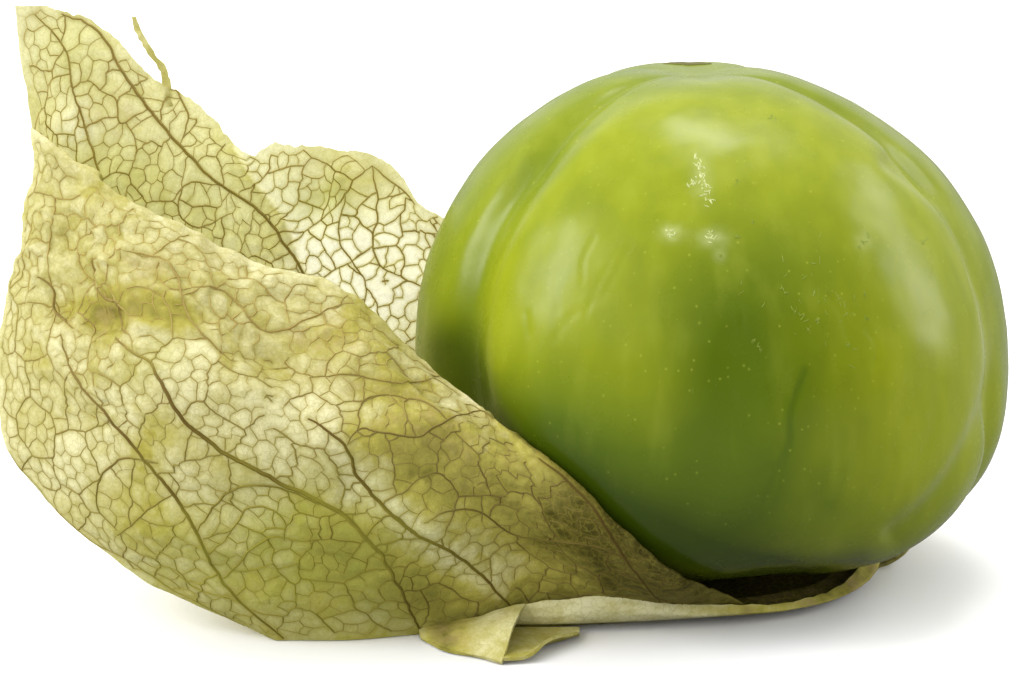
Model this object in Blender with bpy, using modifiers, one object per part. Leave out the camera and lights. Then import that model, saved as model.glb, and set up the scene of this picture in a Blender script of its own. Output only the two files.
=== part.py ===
"""A tomatillo resting on its opened, papery husk.

Frame: +X right, +Y back, +Z up, millimetres turned into metres by MM. The origin is on the surface that the husk
lies on, under the middle of the berry.
"""

import math

import bmesh
import bpy
import numpy as np
from mathutils import Euler, Vector

MM = 0.001

# Berry
BERRY_RADIUS = 24.1
BERRY_RISE = 24.9
BERRY_DROP = 15.9
BERRY_REST = 1.7
BERRY_LOW_POWER = 2.9
BERRY_LEAN = (math.radians(-2.0), math.radians(-3.0), 0.0)
BERRY_SEGMENTS = 72
BERRY_RINGS = 30
# Furrows from pole to pole: azimuth in degrees from +X, depth, half width in degrees
FURROWS = (
    (212.0, 1.5, 6.5),
    (286.0, 0.7, 16.0),
    (342.0, 1.4, 4.5),
    (48.0, 1.3, 9.0),
    (100.0, 0.9, 12.0),
    (155.0, 1.1, 9.0),
)
FURROW_SPREAD = 3.0
FURROW_FADE = 0.7
# Where the berry is fuller or flatter than its round form: azimuth, elevation, height, width in degrees
BULGES = (
    (336.0, -52.0, 1.3, 25.0),
    (190.0, 38.0, 0.5, 25.0),
    (10.0, 62.0, -1.0, 25.0),
)
# Dimples at its top and under it: depth, radius
TOP_DIMPLE = (1.3, 5.0)
BOTTOM_DIMPLE = (0.7, 4.0)

# Husk
SHEET = 0.7
CORE = (-12.0, -3.0, 0.0)
CORE_SHARE = 0.35
RIB_HEIGHT = 0.55
RIB_ROOM = 5.0
# Grid rows where a rib starts and ends, and how many rows it takes to rise and to sink
RIB_START = 3
RIB_END = 17
RIB_RISE = 3.0
RIB_SINK = 4.0
CRINKLE = 0.35
CRINKLE_WAVES = 9
CRINKLE_PITCH = 0.42
FADE_HEIGHT = 4.0
TEAR = 0.45
TEAR_ROOM = 1.5
MERGE = 0.02
SEED = 7

# Each line of the husk runs from the floor up its wall: foot, low, middle, high, top
CREASE = ((-35, -18, 0), (-46, -15.5, 5), (-56, -10, 13.5), (-56, -6, 25), (-54, -4, 37.5))
FRONT_LINES = (
    CREASE,
    ((-34.5, -18.5, 0), (-43, -18.5, 6.5), (-51, -14.5, 15), (-54, -9.5, 25), (-52.5, -6, 36.5)),
    ((-33.5, -18.5, 0), (-38.5, -20.5, 7), (-44.5, -19, 16), (-50.5, -13.5, 23), (-50, -7.5, 35)),
    ((-29, -18.5, 0), (-32.5, -21, 7.5), (-40.5, -21, 14.5), (-48, -16, 23), (-48.5, -8.5, 34.5)),
    ((-23, -17, 0), (-26, -21, 7.5), (-33, -22, 14), (-44, -19, 22.5), (-47, -9, 33.5)),
    ((-20.5, -16.5, 0), (-22.5, -20, 6), (-29, -22, 13), (-38.5, -20, 22), (-41, -11, 31)),
    ((-16, -15.5, 0), (-18.5, -18.5, 5.5), (-25.5, -21.5, 12), (-32, -20.5, 19), (-35.5, -12, 28.5)),
    ((-13, -15.2, 0), (-15.8, -17.6, 5.4), (-20.8, -21.6, 13.8), (-25.4, -19.6, 20.8), (-29, -13, 26.5)),
    ((-10.8, -14.8, 0), (-12.4, -17, 4.4), (-16.2, -21.2, 12), (-20.4, -20, 17.8), (-23.5, -14.4, 22)),
    ((-8.2, -14.4, 0), (-9.8, -17.4, 3.8), (-12.3, -21.3, 9.3), (-14.7, -21.4, 14), (-17, -18.6, 17.5)),
    ((-5.6, -13.8, 0), (-6.6, -16.9, 2.8), (-8, -20.8, 6.3), (-9.5, -22.6, 10), (-10.8, -22.8, 13.2)),
    ((-2.6, -12.8, 0), (-3.1, -15.8, 1.9), (-4, -18.9, 4), (-4.7, -21.2, 6), (-5.4, -22.6, 8)),
    ((0.2, -11.8, 0), (-0.1, -13.8, 1), (-0.5, -15.9, 2.2), (-0.9, -17.7, 3.4), (-1.4, -19.2, 4.8)),
    ((3.2, -10.6, 0), (3.1, -11.6, 0.2), (2.9, -12.6, 0.5), (2.6, -13.6, 0.9), (2.2, -14.5, 1.4)),
)
FRONT_RIBS = (2, 4, 6)
BACK_TOP = (-55.4, 0, 46.6)
# The back lines have a sixth point, on the torn edge
BACK_LINES = (
    CREASE + (BACK_TOP,),
    ((-34.5, -13, 0), (-45.5, -8.5, 5.3), (-53, -3.5, 14.5), (-53, -0.5, 26), (-52, 1.5, 38.5), (-52, 2, 46)),
    ((-32, -6, 0), (-41.5, -2.5, 6), (-47.5, 2, 15), (-48, 3.5, 27), (-48.5, 4.5, 37), (-48.8, 4, 44)),
    ((-29, -1, 0), (-37, 3, 6.5), (-42, 6.5, 15), (-43.5, 7.5, 25.5), (-44.4, 7.5, 34), (-44.7, 7, 39)),
    ((-26, 2.5, 0), (-33, 7, 7), (-37.5, 10, 15), (-39.5, 10.5, 24.5), (-41, 10, 32), (-41.3, 9, 36.6)),
    ((-23, 5.5, 0), (-29.5, 10.5, 7), (-34, 13, 14.5), (-36.5, 13.3, 22.5), (-37.9, 12.8, 28.5), (-38.2, 12, 32.2)),
    ((-20, 8, 0), (-26, 13.5, 7), (-30.5, 15.8, 14), (-33, 15.8, 21.5), (-34.2, 15.5, 28), (-34.7, 15, 32)),
    ((-16.5, 10, 0), (-22, 16, 6.5), (-26.5, 18.5, 13.5), (-29, 18.3, 20.5), (-30.4, 17.8, 27), (-30.9, 17, 31)),
    ((-13, 11.2, 0), (-18, 18, 6.3), (-22, 20.5, 13), (-24.5, 20, 19.8), (-25.8, 19.3, 25.7), (-26.3, 18.5, 29.5)),
    ((-9.5, 12, 0), (-14.5, 19, 6), (-18.3, 22, 11.8), (-21, 21.8, 17.5), (-22.6, 20.8, 22.3), (-23.4, 20, 25.3)),
    ((-5.5, 12.8, 0), (-9.5, 20.4, 5.3), (-11.8, 24, 10.3), (-14, 24.6, 15.5), (-15.5, 24.2, 19.8), (-16.5, 23.6, 22.7)),
    ((-1.8, 13.2, 0), (-4.5, 20.2, 4.5), (-6, 24.4, 9.1), (-7.2, 25.9, 13.6), (-7.7, 26, 17.3), (-8, 25.8, 20)),
    ((2.4, 13.2, 0), (1.7, 19.6, 3.6), (1.2, 23.9, 7.5), (1, 25.6, 11.5), (1, 26.1, 14.7), (1, 26.3, 17)),
    ((6.9, 11.8, 0), (7.5, 17.4, 2.8), (7.9, 21.4, 6), (8.2, 23.5, 9.3), (8.4, 24.2, 12), (8.5, 24.6, 14)),
    ((10.3, 9.2, 0), (11.8, 13.8, 1.9), (13.1, 17.2, 4.3), (13.9, 19.2, 7), (14.2, 20, 9.3), (14.5, 20.6, 11)),
    ((12.4, 6.3, 0), (14.4, 9.5, 1), (16, 12.2, 2.8), (17.2, 13.9, 4.9), (18, 14.7, 6.9), (18.6, 15.4, 8.5)),
    ((13.4, 3.4, 0), (15, 4.6, 0.3), (16.6, 5.6, 1.3), (17.8, 6.4, 2.7), (18.5, 6.9, 4.2), (19.3, 7.3, 5.4)),
    ((13, -0.6, 0), (14.4, -0.3, 0.2), (15.6, 0, 0.8), (16.4, 0.3, 1.5), (17, 0.6, 2.3), (17.4, 0.8, 3.1)),
)
BACK_RIBS = (2, 5, 8, 11, 14)
FLOOR_STEPS = 2
WALL_STEPS = (3, 4, 4, 4)
LOBE_STEPS = 4
ACROSS_STEPS = 3

# Feet of the floor that joins the front wall's last line to the back wall's last
FLOOR_FEET = ((7.2, -10.2, 0), (9.9, -8.2, 0), (11.8, -5.6, 0), (12.6, -3.0, 0))

# Folds in the walls: start, end, half width, shift
FOLDS = (
    ((-57, -5, 35), (-57, -5, 30.5), 3.0, (1.6, 0, 0)),
    ((-50.3, -10.4, 30), (-47.5, -15, 24.5), 1.6, (0.3, 1.2, 0.3)),
    ((-35, -19, 22), (-24, -20, 21), 2.2, (0, 0.7, -0.5)),
    ((-30, -21.5, 17.5), (-24, -21, 17), 2.0, (0, -0.6, 0)),
)

# The saucer's rim in front: foot x, foot y, height, and how far its top stands in from its foot
RIM_STATIONS = (
    (-23.5, -17.0, 0.5, 0.0),
    (-20.0, -17.6, 1.1, 0.0),
    (-17.5, -17.8, 1.9, 0.0),
    (-15.0, -17.9, 2.6, 0.1),
    (-12.0, -17.8, 2.9, 0.2),
    (-9.0, -17.6, 3.1, 0.2),
    (-6.5, -17.4, 3.0, 0.2),
    (-4.0, -17.1, 2.5, 0.2),
    (-1.5, -16.7, 2.0, 0.2),
    (1.5, -16.1, 1.8, 0.2),
    (4.8, -15.1, 1.5, 0.3),
    (8.0, -13.4, 1.4, 0.5),
    (10.5, -11.4, 1.5, 0.8),
    (12.3, -9.1, 1.8, 0.9),
    (13.6, -6.3, 2.1, 1.0),
    (14.5, -2.6, 2.1, 0.8),
    (14.9, 1.0, 2.0, 0.5),
)
RIM_FLOOR = 4.0
RIM_FLOOR_RISE = 0.3
RIM_BEND = 0.8
RIM_KNEE_SHARE = 0.4
RIM_CENTRE = (-1.0, -2.0)
RIM_STEPS = (2, 1, 2)
RIM_ACROSS_STEPS = 2

# The corner folded outward at the rim's left end: on the fold, halfway down, and at its edge on the floor
CORNER_LINES = (
    ((-23.3, -17.2, 0.3), (-23.2, -17.8, 0.2), (-23.1, -18.6, 0.0)),
    ((-20.0, -17.7, 1.1), (-20.3, -19.6, 1.0), (-20.9, -21.7, 0.0)),
    ((-17.5, -17.9, 1.9), (-18.3, -20.3, 1.5), (-19.1, -22.6, 0.0)),
    ((-15.0, -18.0, 2.6), (-15.8, -20.9, 2.0), (-16.8, -24.4, 0.0)),
)
CORNER_ACROSS_STEPS = 3
CORNER_DOWN_STEPS = (3, 3)
LIP_STEPS = (2, 2)
# The lower lip beside it, flat on the floor: its back edge and its front edge
LIP_LINES = (
    ((-18.0, -17.0, 0.0), (-17.3, -20.8, 0.0), (-16.7, -24.3, 0.0)),
    ((-15.0, -16.8, 0.0), (-14.7, -20.0, 0.0), (-14.6, -23.8, 0.4)),
    ((-13.0, -16.8, 0.0), (-13.1, -19.2, 0.0), (-13.4, -21.9, 0.9)),
    ((-10.8, -16.8, 0.0), (-10.8, -17.8, 0.0), (-10.9, -18.9, 0.6)),
)

# The narrow torn strip beside the tall lobe: centre line from root to tip, and its half widths
STRIP_LINE = ((-44.2, 8.1, 37.0), (-44.5, 7.7, 40.0), (-45.5, 7.5, 41.6), (-46.1, 7.5, 42.7), (-46.6, 7.5, 44.2))
STRIP_HALF_WIDTHS = (0.9, 0.55, 0.45, 0.4, 0.3)
STRIP_SIDE = (1.0, 0.15, 0.0)
STRIP_STEPS = 2

# Colour, roughness
BERRY_SKIN = ((0.235, 0.36, 0.035), 0.25)
HUSK_PAPER = ((0.50, 0.49, 0.20), 0.75)


def clear_scene():
    """Removes whatever the file holds."""
    for old in list(bpy.data.objects):
        bpy.data.objects.remove(old, do_unlink=True)


def new_collection(name):
    """A collection linked to the scene."""
    collection = bpy.data.collections.new(name)
    bpy.context.scene.collection.children.link(collection)
    return collection


def new_material(name, colour, roughness):
    """A Principled material of one colour."""
    material = bpy.data.materials.new(name)
    material.use_nodes = True
    shader = material.node_tree.nodes["Principled BSDF"]
    shader.inputs["Base Color"].default_value = (*colour, 1.0)
    shader.inputs["Roughness"].default_value = roughness
    shader.inputs["Metallic"].default_value = 0.0
    return material


def through(points, steps):
    """A smooth curve through points, along their first axis, with steps[i] samples in gap i."""
    points = np.asarray(points, float)
    gaps = np.diff(points, axis=0)
    lengths = np.maximum(np.linalg.norm(gaps, axis=-1, keepdims=True), 1e-6)
    slopes = gaps / lengths
    tangents = np.empty_like(points)
    before = lengths[:-1]
    after = lengths[1:]
    tangents[1:-1] = (slopes[1:] * before + slopes[:-1] * after) / (before + after)
    tangents[0] = slopes[0]
    tangents[-1] = slopes[-1]
    samples = [points[:1]]
    for i, count in enumerate(steps):
        t = np.arange(1, count + 1) / count
        t = t.reshape((-1,) + (1,) * (points.ndim - 1))
        leave = lengths[i] * tangents[i]
        arrive = lengths[i] * tangents[i + 1]
        samples.append(
            (2 * t**3 - 3 * t**2 + 1) * points[i]
            + (t**3 - 2 * t**2 + t) * leave
            + (3 * t**2 - 2 * t**3) * points[i + 1]
            + (t**3 - t**2) * arrive
        )
    return np.concatenate(samples)


def line_grid(lines, line_steps, across_steps):
    """A grid of points, [across, along, xyz], from lines that each have as many points."""
    along = np.stack([through(line, line_steps) for line in lines])
    return through(along, [across_steps] * (len(lines) - 1))


def normals_of(grid):
    """Unit normals of a grid, pointing where across cross along points."""
    across = np.gradient(grid, axis=0)
    along = np.gradient(grid, axis=1)
    normals = np.cross(across, along)
    return normals / np.maximum(np.linalg.norm(normals, axis=-1, keepdims=True), 1e-9)


def crinkle(grid):
    """A seeded mix of waves, from -1 to 1, at each point of a grid."""
    draw = np.random.default_rng(SEED)
    total = np.zeros(grid.shape[:2])
    for _ in range(CRINKLE_WAVES):
        wave = draw.normal(0.0, CRINKLE_PITCH, 3)
        total += np.sin(grid @ wave + draw.uniform(0.0, 2 * math.pi))
    return total / math.sqrt(2 * CRINKLE_WAVES)


def floor_fade(grid):
    """0 on the floor, rising to 1 at FADE_HEIGHT."""
    return np.clip(grid[..., 2] / FADE_HEIGHT, 0.0, 1.0)


def folded(grid):
    """A wall's grid with its folds pressed in."""
    shifted = grid.copy()
    for start, end, width, shift in FOLDS:
        start, run = np.array(start, float), np.array(end, float) - np.array(start, float)
        share = np.clip((grid - start) @ run / max(run @ run, 1e-9), 0.0, 1.0)
        away = np.linalg.norm(grid - start - share[..., None] * run, axis=-1)
        shifted += np.exp(-((away / width) ** 2))[..., None] * np.array(shift)
    return shifted


def with_ribs(grid, ribs, side):
    """Presses in the folds, crinkles the sheet and raises its rib lines, on the side that its normals face."""
    grid = folded(grid)
    normals = side * normals_of(grid)
    fade = floor_fade(grid)
    lift = CRINKLE * crinkle(grid) * fade
    rows = np.arange(grid.shape[1])
    run = np.clip((rows - RIB_START) / RIB_RISE, 0.0, 1.0) * np.clip((RIB_END - rows) / RIB_SINK, 0.0, 1.0)
    for rib in ribs:
        column = rib * ACROSS_STEPS
        room = np.linalg.norm(grid[column + 1] - grid[column - 1], axis=-1) / RIB_ROOM
        lift[column] += RIB_HEIGHT * np.minimum(room, 1.0) * run * fade[column]
    raised = grid + normals * lift[..., None]
    raised[..., 2] = np.maximum(raised[..., 2], 0.0)
    return raised


def over_floor(foot):
    """Points straight over the floor, from near the husk's middle to a line's foot."""
    core = np.array(CORE)
    shares = np.linspace(CORE_SHARE, 1.0, FLOOR_STEPS + 1)
    return core + shares[:, None] * (np.array(foot, float) - core)


def walls_grid(lines, wall_steps):
    """The sheet through a set of husk lines: over the floor to each foot, then up the wall."""
    along = [np.concatenate([over_floor(line[0])[:-1], through(line, wall_steps)]) for line in lines]
    return through(np.stack(along), [ACROSS_STEPS] * (len(lines) - 1))


def back_grid():
    """The back wall up to its torn edge."""
    grid = walls_grid(BACK_LINES, WALL_STEPS + (LOBE_STEPS,))
    draw = np.random.default_rng(SEED + 1)
    last_gap = np.linalg.norm(grid[:, -1] - grid[:, -2], axis=-1)
    tear = draw.uniform(-TEAR, TEAR, grid.shape[0]) * np.minimum(last_gap, TEAR_ROOM)
    tear[0] = 0.0
    grid[:, -1, 2] += tear
    return grid


def add_grid(mesh, grid, flip=False):
    """Adds a grid to a bmesh as triangles."""
    corners = [[mesh.verts.new(Vector(point) * MM) for point in row] for row in grid]
    for i in range(len(corners) - 1):
        for j in range(len(corners[0]) - 1):
            a, b = corners[i][j], corners[i + 1][j]
            c, d = corners[i + 1][j + 1], corners[i][j + 1]
            for face in ((a, b, c), (a, c, d)):
                mesh.faces.new(face[::-1] if flip else face)


def add_core(mesh, ring):
    """Adds the flat middle of the husk's floor: a fan round its centre."""
    centre = mesh.verts.new(Vector(CORE) * MM)
    corners = [mesh.verts.new(Vector(point) * MM) for point in ring]
    for a, b in zip(corners[:-1], corners[1:]):
        mesh.faces.new((centre, a, b))


def sheet_object(name, fill, side, collection, material):
    """An open surface made by fill, given the sheet's thickness on its inner (-1) or outer (1) side."""
    mesh = bmesh.new()
    fill(mesh)
    bmesh.ops.remove_doubles(mesh, verts=mesh.verts, dist=MERGE * MM)
    bmesh.ops.dissolve_degenerate(mesh, edges=mesh.edges, dist=MERGE * MM)
    data = bpy.data.meshes.new(name)
    mesh.to_mesh(data)
    mesh.free()
    data.materials.append(material)
    sheet = bpy.data.objects.new(name, data)
    collection.objects.link(sheet)
    solidify = sheet.modifiers.new("Thickness", "SOLIDIFY")
    solidify.thickness = SHEET * MM
    solidify.offset = side
    solidify.use_even_offset = False
    solidify.use_rim = True
    return sheet


def husk_walls(mesh):
    """The husk's one large sheet: front wall, back wall and the floor between them."""
    front = with_ribs(walls_grid(FRONT_LINES, WALL_STEPS), FRONT_RIBS, 1.0)
    back = with_ribs(back_grid(), BACK_RIBS, -1.0)
    shared = 1 + FLOOR_STEPS + sum(WALL_STEPS)
    back[0, :shared] = front[0, :shared]
    feet = (FRONT_LINES[-1][0], *FLOOR_FEET, BACK_LINES[-1][0])
    floor = np.stack([over_floor(foot) for foot in feet])
    add_grid(mesh, front)
    add_grid(mesh, back, flip=True)
    add_grid(mesh, floor)
    add_core(mesh, np.concatenate([floor[::-1, 0], front[-2::-1, 0], back[1:, 0]]))


def husk_saucer(mesh):
    """The saucer's floor in front and its rim, curled up."""
    lines = []
    centre = np.array(RIM_CENTRE)
    for x, y, height, lean in RIM_STATIONS:
        foot = np.array((x, y))
        inward = (centre - foot) / np.linalg.norm(centre - foot)
        start = foot + inward * RIM_FLOOR
        bend = foot + inward * (SHEET + RIM_BEND)
        knee = foot + inward * SHEET
        top = foot + inward * (SHEET + lean)
        lines.append(
            (
                (*start, SHEET + RIM_FLOOR_RISE),
                (*bend, SHEET),
                (*knee, SHEET + RIM_KNEE_SHARE * (height - SHEET)),
                (*top, height),
            )
        )
    grid = line_grid(lines, RIM_STEPS, RIM_ACROSS_STEPS)
    grid[..., 2] = np.maximum(grid[..., 2], SHEET)
    add_grid(mesh, grid)


def husk_corner(mesh):
    """The folded corner, as a sheet that leans from the rim to the floor."""
    add_grid(mesh, line_grid(CORNER_LINES, CORNER_DOWN_STEPS, CORNER_ACROSS_STEPS))


def husk_lip(mesh):
    """The lower lip beside the folded corner."""
    grid = line_grid(LIP_LINES, LIP_STEPS, CORNER_ACROSS_STEPS)
    grid[..., 2] = np.maximum(grid[..., 2], 0.0)
    add_grid(mesh, grid)


def husk_strip(mesh):
    """The narrow torn strip beside the tall lobe."""
    centre = through(STRIP_LINE, [STRIP_STEPS] * (len(STRIP_LINE) - 1))
    places = np.linspace(0, len(STRIP_LINE) - 1, len(centre))
    widths = np.interp(places, range(len(STRIP_LINE)), STRIP_HALF_WIDTHS)
    side = np.array(STRIP_SIDE)
    grid = np.stack([centre - widths[:, None] * side, centre + widths[:, None] * side])
    add_grid(mesh, grid, flip=True)


def island_of(face, seen):
    """The faces joined to a face by edges."""
    island = []
    waiting = [face]
    seen.add(face)
    while waiting:
        face = waiting.pop()
        island.append(face)
        for edge in face.edges:
            for other in edge.link_faces:
                if other not in seen:
                    seen.add(other)
                    waiting.append(other)
    return island


def keep_largest_body(data):
    """Drops the scraps of a joined mesh, and fills the hollows that joining sealed."""
    mesh = bmesh.new()
    mesh.from_mesh(data)
    seen = set()
    islands = [island_of(face, seen) for face in mesh.faces if face not in seen]
    islands.sort(key=len)
    doomed = [face for island in islands[:-1] for face in island]
    bmesh.ops.delete(mesh, geom=doomed, context="FACES")
    mesh.to_mesh(data)
    mesh.free()


def join_pieces(name, pieces, collection, material):
    """One solid from overlapping solids, which are then removed."""
    group = bpy.data.collections.new(name + "_pieces")
    bpy.context.scene.collection.children.link(group)
    first, rest = pieces[0], pieces[1:]
    for piece in rest:
        for owner in list(piece.users_collection):
            owner.objects.unlink(piece)
        group.objects.link(piece)
    union = first.modifiers.new("Join", "BOOLEAN")
    union.operation = "UNION"
    union.operand_type = "COLLECTION"
    union.collection = group
    union.solver = "EXACT"
    union.use_self = True
    graph = bpy.context.evaluated_depsgraph_get()
    data = bpy.data.meshes.new_from_object(first.evaluated_get(graph))
    keep_largest_body(data)
    data.name = name
    data.materials.clear()
    data.materials.append(material)
    joined = bpy.data.objects.new(name, data)
    collection.objects.link(joined)
    for piece in pieces:
        bpy.data.objects.remove(piece, do_unlink=True)
    bpy.data.collections.remove(group)
    return joined


def make_husk(collection):
    """The husk: every sheet of it joined in one solid."""
    material = new_material("husk_paper", *HUSK_PAPER)
    fills = (
        ("walls", husk_walls, -1.0),
        ("saucer", husk_saucer, 1.0),
        ("corner", husk_corner, -1.0),
        ("lip", husk_lip, -1.0),
        ("strip", husk_strip, -1.0),
    )
    pieces = [sheet_object("husk_" + name, *how, collection, material) for name, *how in fills]
    husk = join_pieces("husk", pieces, collection, material)
    husk.data.shade_smooth()
    return husk


def furrow_depth(azimuth):
    """How deep the furrows are at an azimuth in degrees: a sharp valley in a wide one for each."""
    total = 0.0
    for centre, depth, width in FURROWS:
        off = ((azimuth - centre + 180.0) % 360.0 - 180.0) / width
        total += 0.5 * depth * (math.exp(-(off**2)) + math.exp(-((off / FURROW_SPREAD) ** 2)))
    return total


def bulge_height(direction):
    """How far the berry's bulges lift its skin along a unit direction."""
    total = 0.0
    for azimuth, elevation, height, width in BULGES:
        level = math.cos(math.radians(elevation))
        top = Vector((level * math.cos(math.radians(azimuth)), level * math.sin(math.radians(azimuth)), 0.0))
        top.z = math.sin(math.radians(elevation))
        total += height * math.exp(-((direction.angle(top) / math.radians(width)) ** 2))
    return total


def berry_point(direction):
    """Where the berry's skin lies along a unit direction from its middle, in millimetres."""
    ring = direction.xy.length
    rise = direction.z
    power, reach = (2.0, BERRY_RISE) if rise >= 0 else (BERRY_LOW_POWER, BERRY_DROP)
    radius = ((ring / BERRY_RADIUS) ** power + (abs(rise) / reach) ** power) ** (-1.0 / power)
    azimuth = math.degrees(math.atan2(direction.y, direction.x))
    radius += bulge_height(direction) - furrow_depth(azimuth) * ring**FURROW_FADE
    point = direction * radius
    depth, width = TOP_DIMPLE if rise > 0 else BOTTOM_DIMPLE
    point.z -= math.copysign(depth * math.exp(-((point.xy.length / width) ** 2)), rise)
    return point


def make_berry(collection):
    """The lobed berry, from a sphere whose points are moved by the formula of its skin."""
    mesh = bmesh.new()
    bmesh.ops.create_uvsphere(mesh, u_segments=BERRY_SEGMENTS, v_segments=BERRY_RINGS, radius=1.0)
    for vert in mesh.verts:
        vert.co = berry_point(vert.co.normalized()) * MM
    bmesh.ops.triangulate(mesh, faces=mesh.faces)
    data = bpy.data.meshes.new("fruit")
    mesh.to_mesh(data)
    mesh.free()
    data.materials.append(new_material("berry_skin", *BERRY_SKIN))
    data.shade_smooth()
    berry = bpy.data.objects.new("fruit", data)
    berry.location = (0.0, 0.0, (BERRY_REST + BERRY_DROP) * MM)
    berry.rotation_euler = Euler(BERRY_LEAN)
    collection.objects.link(berry)
    return berry


def main():
    clear_scene()
    collection = new_collection("tomatillo")
    make_berry(collection)
    make_husk(collection)


main()
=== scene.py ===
"""How a tomatillo on its opened, papery husk looks, made round its CAD model.

Lengths are millimetres until MM turns them into metres. +X is right, +Y back and +Z up.
A place on the husk or the berry that is known from the front is given as it is seen: across and up,
in millimetres, on the upright picture plane through the middle of the berry.
"""

import math

import bpy
import numpy as np
from mathutils import Euler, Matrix, Vector, geometry, kdtree, noise


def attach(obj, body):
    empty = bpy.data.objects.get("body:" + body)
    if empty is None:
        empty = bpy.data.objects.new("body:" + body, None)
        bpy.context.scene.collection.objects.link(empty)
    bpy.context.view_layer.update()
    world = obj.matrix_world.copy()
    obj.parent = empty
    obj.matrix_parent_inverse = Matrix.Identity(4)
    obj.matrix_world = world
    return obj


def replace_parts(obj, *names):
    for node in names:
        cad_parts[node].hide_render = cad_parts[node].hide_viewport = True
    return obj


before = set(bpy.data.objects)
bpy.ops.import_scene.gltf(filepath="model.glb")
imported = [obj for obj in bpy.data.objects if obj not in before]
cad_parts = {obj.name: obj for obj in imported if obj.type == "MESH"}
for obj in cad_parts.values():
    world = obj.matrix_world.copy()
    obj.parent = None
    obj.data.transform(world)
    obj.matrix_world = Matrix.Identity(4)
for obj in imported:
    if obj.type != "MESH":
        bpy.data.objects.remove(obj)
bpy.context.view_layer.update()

MM = 0.001

# The camera: tilt, how far it stands from the berry, the picture's width there, and the picture's middle
TILT = math.radians(15.0)
CAMERA_DISTANCE = 380.0
PICTURE_WIDTH = 82.6
PICTURE_MIDDLE = (-16.06, 18.68)
BERRY_DEPTH = -4.66
SENSOR = 36.0

# The sky's brightest way and its strength from in front to behind, and the floor as it lights and as it shows
SKY_BRIGHT_WAY = (0, 0.55, 0.84)
SKY_LIGHT = (0.1, 1.05)
FLOOR_BOUNCE = 0.32
FLOOR_WHITE = 0.98
# How the sky's brightness spreads, how bright it shows, and the floor's half size and level in metres
SKY_SPREAD = (-0.4, 0.9)
SKY_SHOWN = 1.1
FLOOR_HALF = 1.5
FLOOR_LEVEL = -0.0001
# Each lamp: name, place and aim in metres, width and height, power in watts, whether glossy skin mirrors it
LIGHTS = (
    ("overhead", (0.02, 0.11, 0.5), (0, 0, 0.02), (0.22, 0.14), 0.95, True),
    ("high_right", (0.36, 0.1, 0.34), (0, 0, 0.02), (0.2, 0.14), 0.45, True),
    ("low_right", (0.46, 0.02, 0.16), (0, 0, 0.02), (0.2, 0.24), 0.8, True),
    ("left", (-0.46, -0.1, 0.28), (-0.02, 0, 0.02), (0.16, 0.26), 1.1, True),
    ("left_fill", (-0.4, -0.25, 0.28), (-0.02, 0, 0.02), (0.45, 0.45), 1.5, False),
    ("front_fill", (-0.12, -0.6, 0.2), (-0.02, 0, 0.02), (0.6, 0.35), 1.25, False),
    ("behind", (-0.14, 0.42, 0.16), (-0.03, 0, 0.03), (0.35, 0.25), 0.95, False),
)

# The berry, as in its CAD source: its radii, the height it rests at, and its lean
BERRY_RADIUS = 24.1
BERRY_RISE = 24.9
BERRY_DROP = 15.9
BERRY_REST = 1.7
BERRY_LOW_POWER = 2.9
BERRY_LEAN = (math.radians(-2.0), math.radians(-3.0), 0.0)
# How finely it is made here, and how much finer in front
BERRY_SEGMENTS = 440
BERRY_RINGS = 226
FRONT_DENSITY = 0.42
# Furrows: azimuth in degrees, depth, half width in degrees
FURROWS = (
    (212, 1.5, 6.5),
    (286, 0.7, 16),
    (342, 1.4, 4.5),
    (48, 1.3, 9),
    (100, 0.9, 12),
    (155, 1.1, 9),
)
# How much wider a furrow's shoulders are, how furrows fade toward the poles, and how wide the smooth top is
FURROW_SPREAD = 3.0
FURROW_FADE = 0.7
SMOOTH_TOP = 0.22
# Bulges: azimuth and elevation in degrees, height, half width in degrees
BULGES = (
    (336, -52, 1.3, 25),
    (190, 38, 0.5, 25),
    (10, 62, -1, 25),
)
# Dimples: depth, half width
TOP_DIMPLE = (1.3, 5)
BOTTOM_DIMPLE = (0.7, 4)

# A crease low in the berry's middle, as seen
LOW_CREASE = ((7.6, 16.1), (6.4, 12.2), (6.4, 10.5), (5.2, 7.5), (4.3, 5.4))
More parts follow.
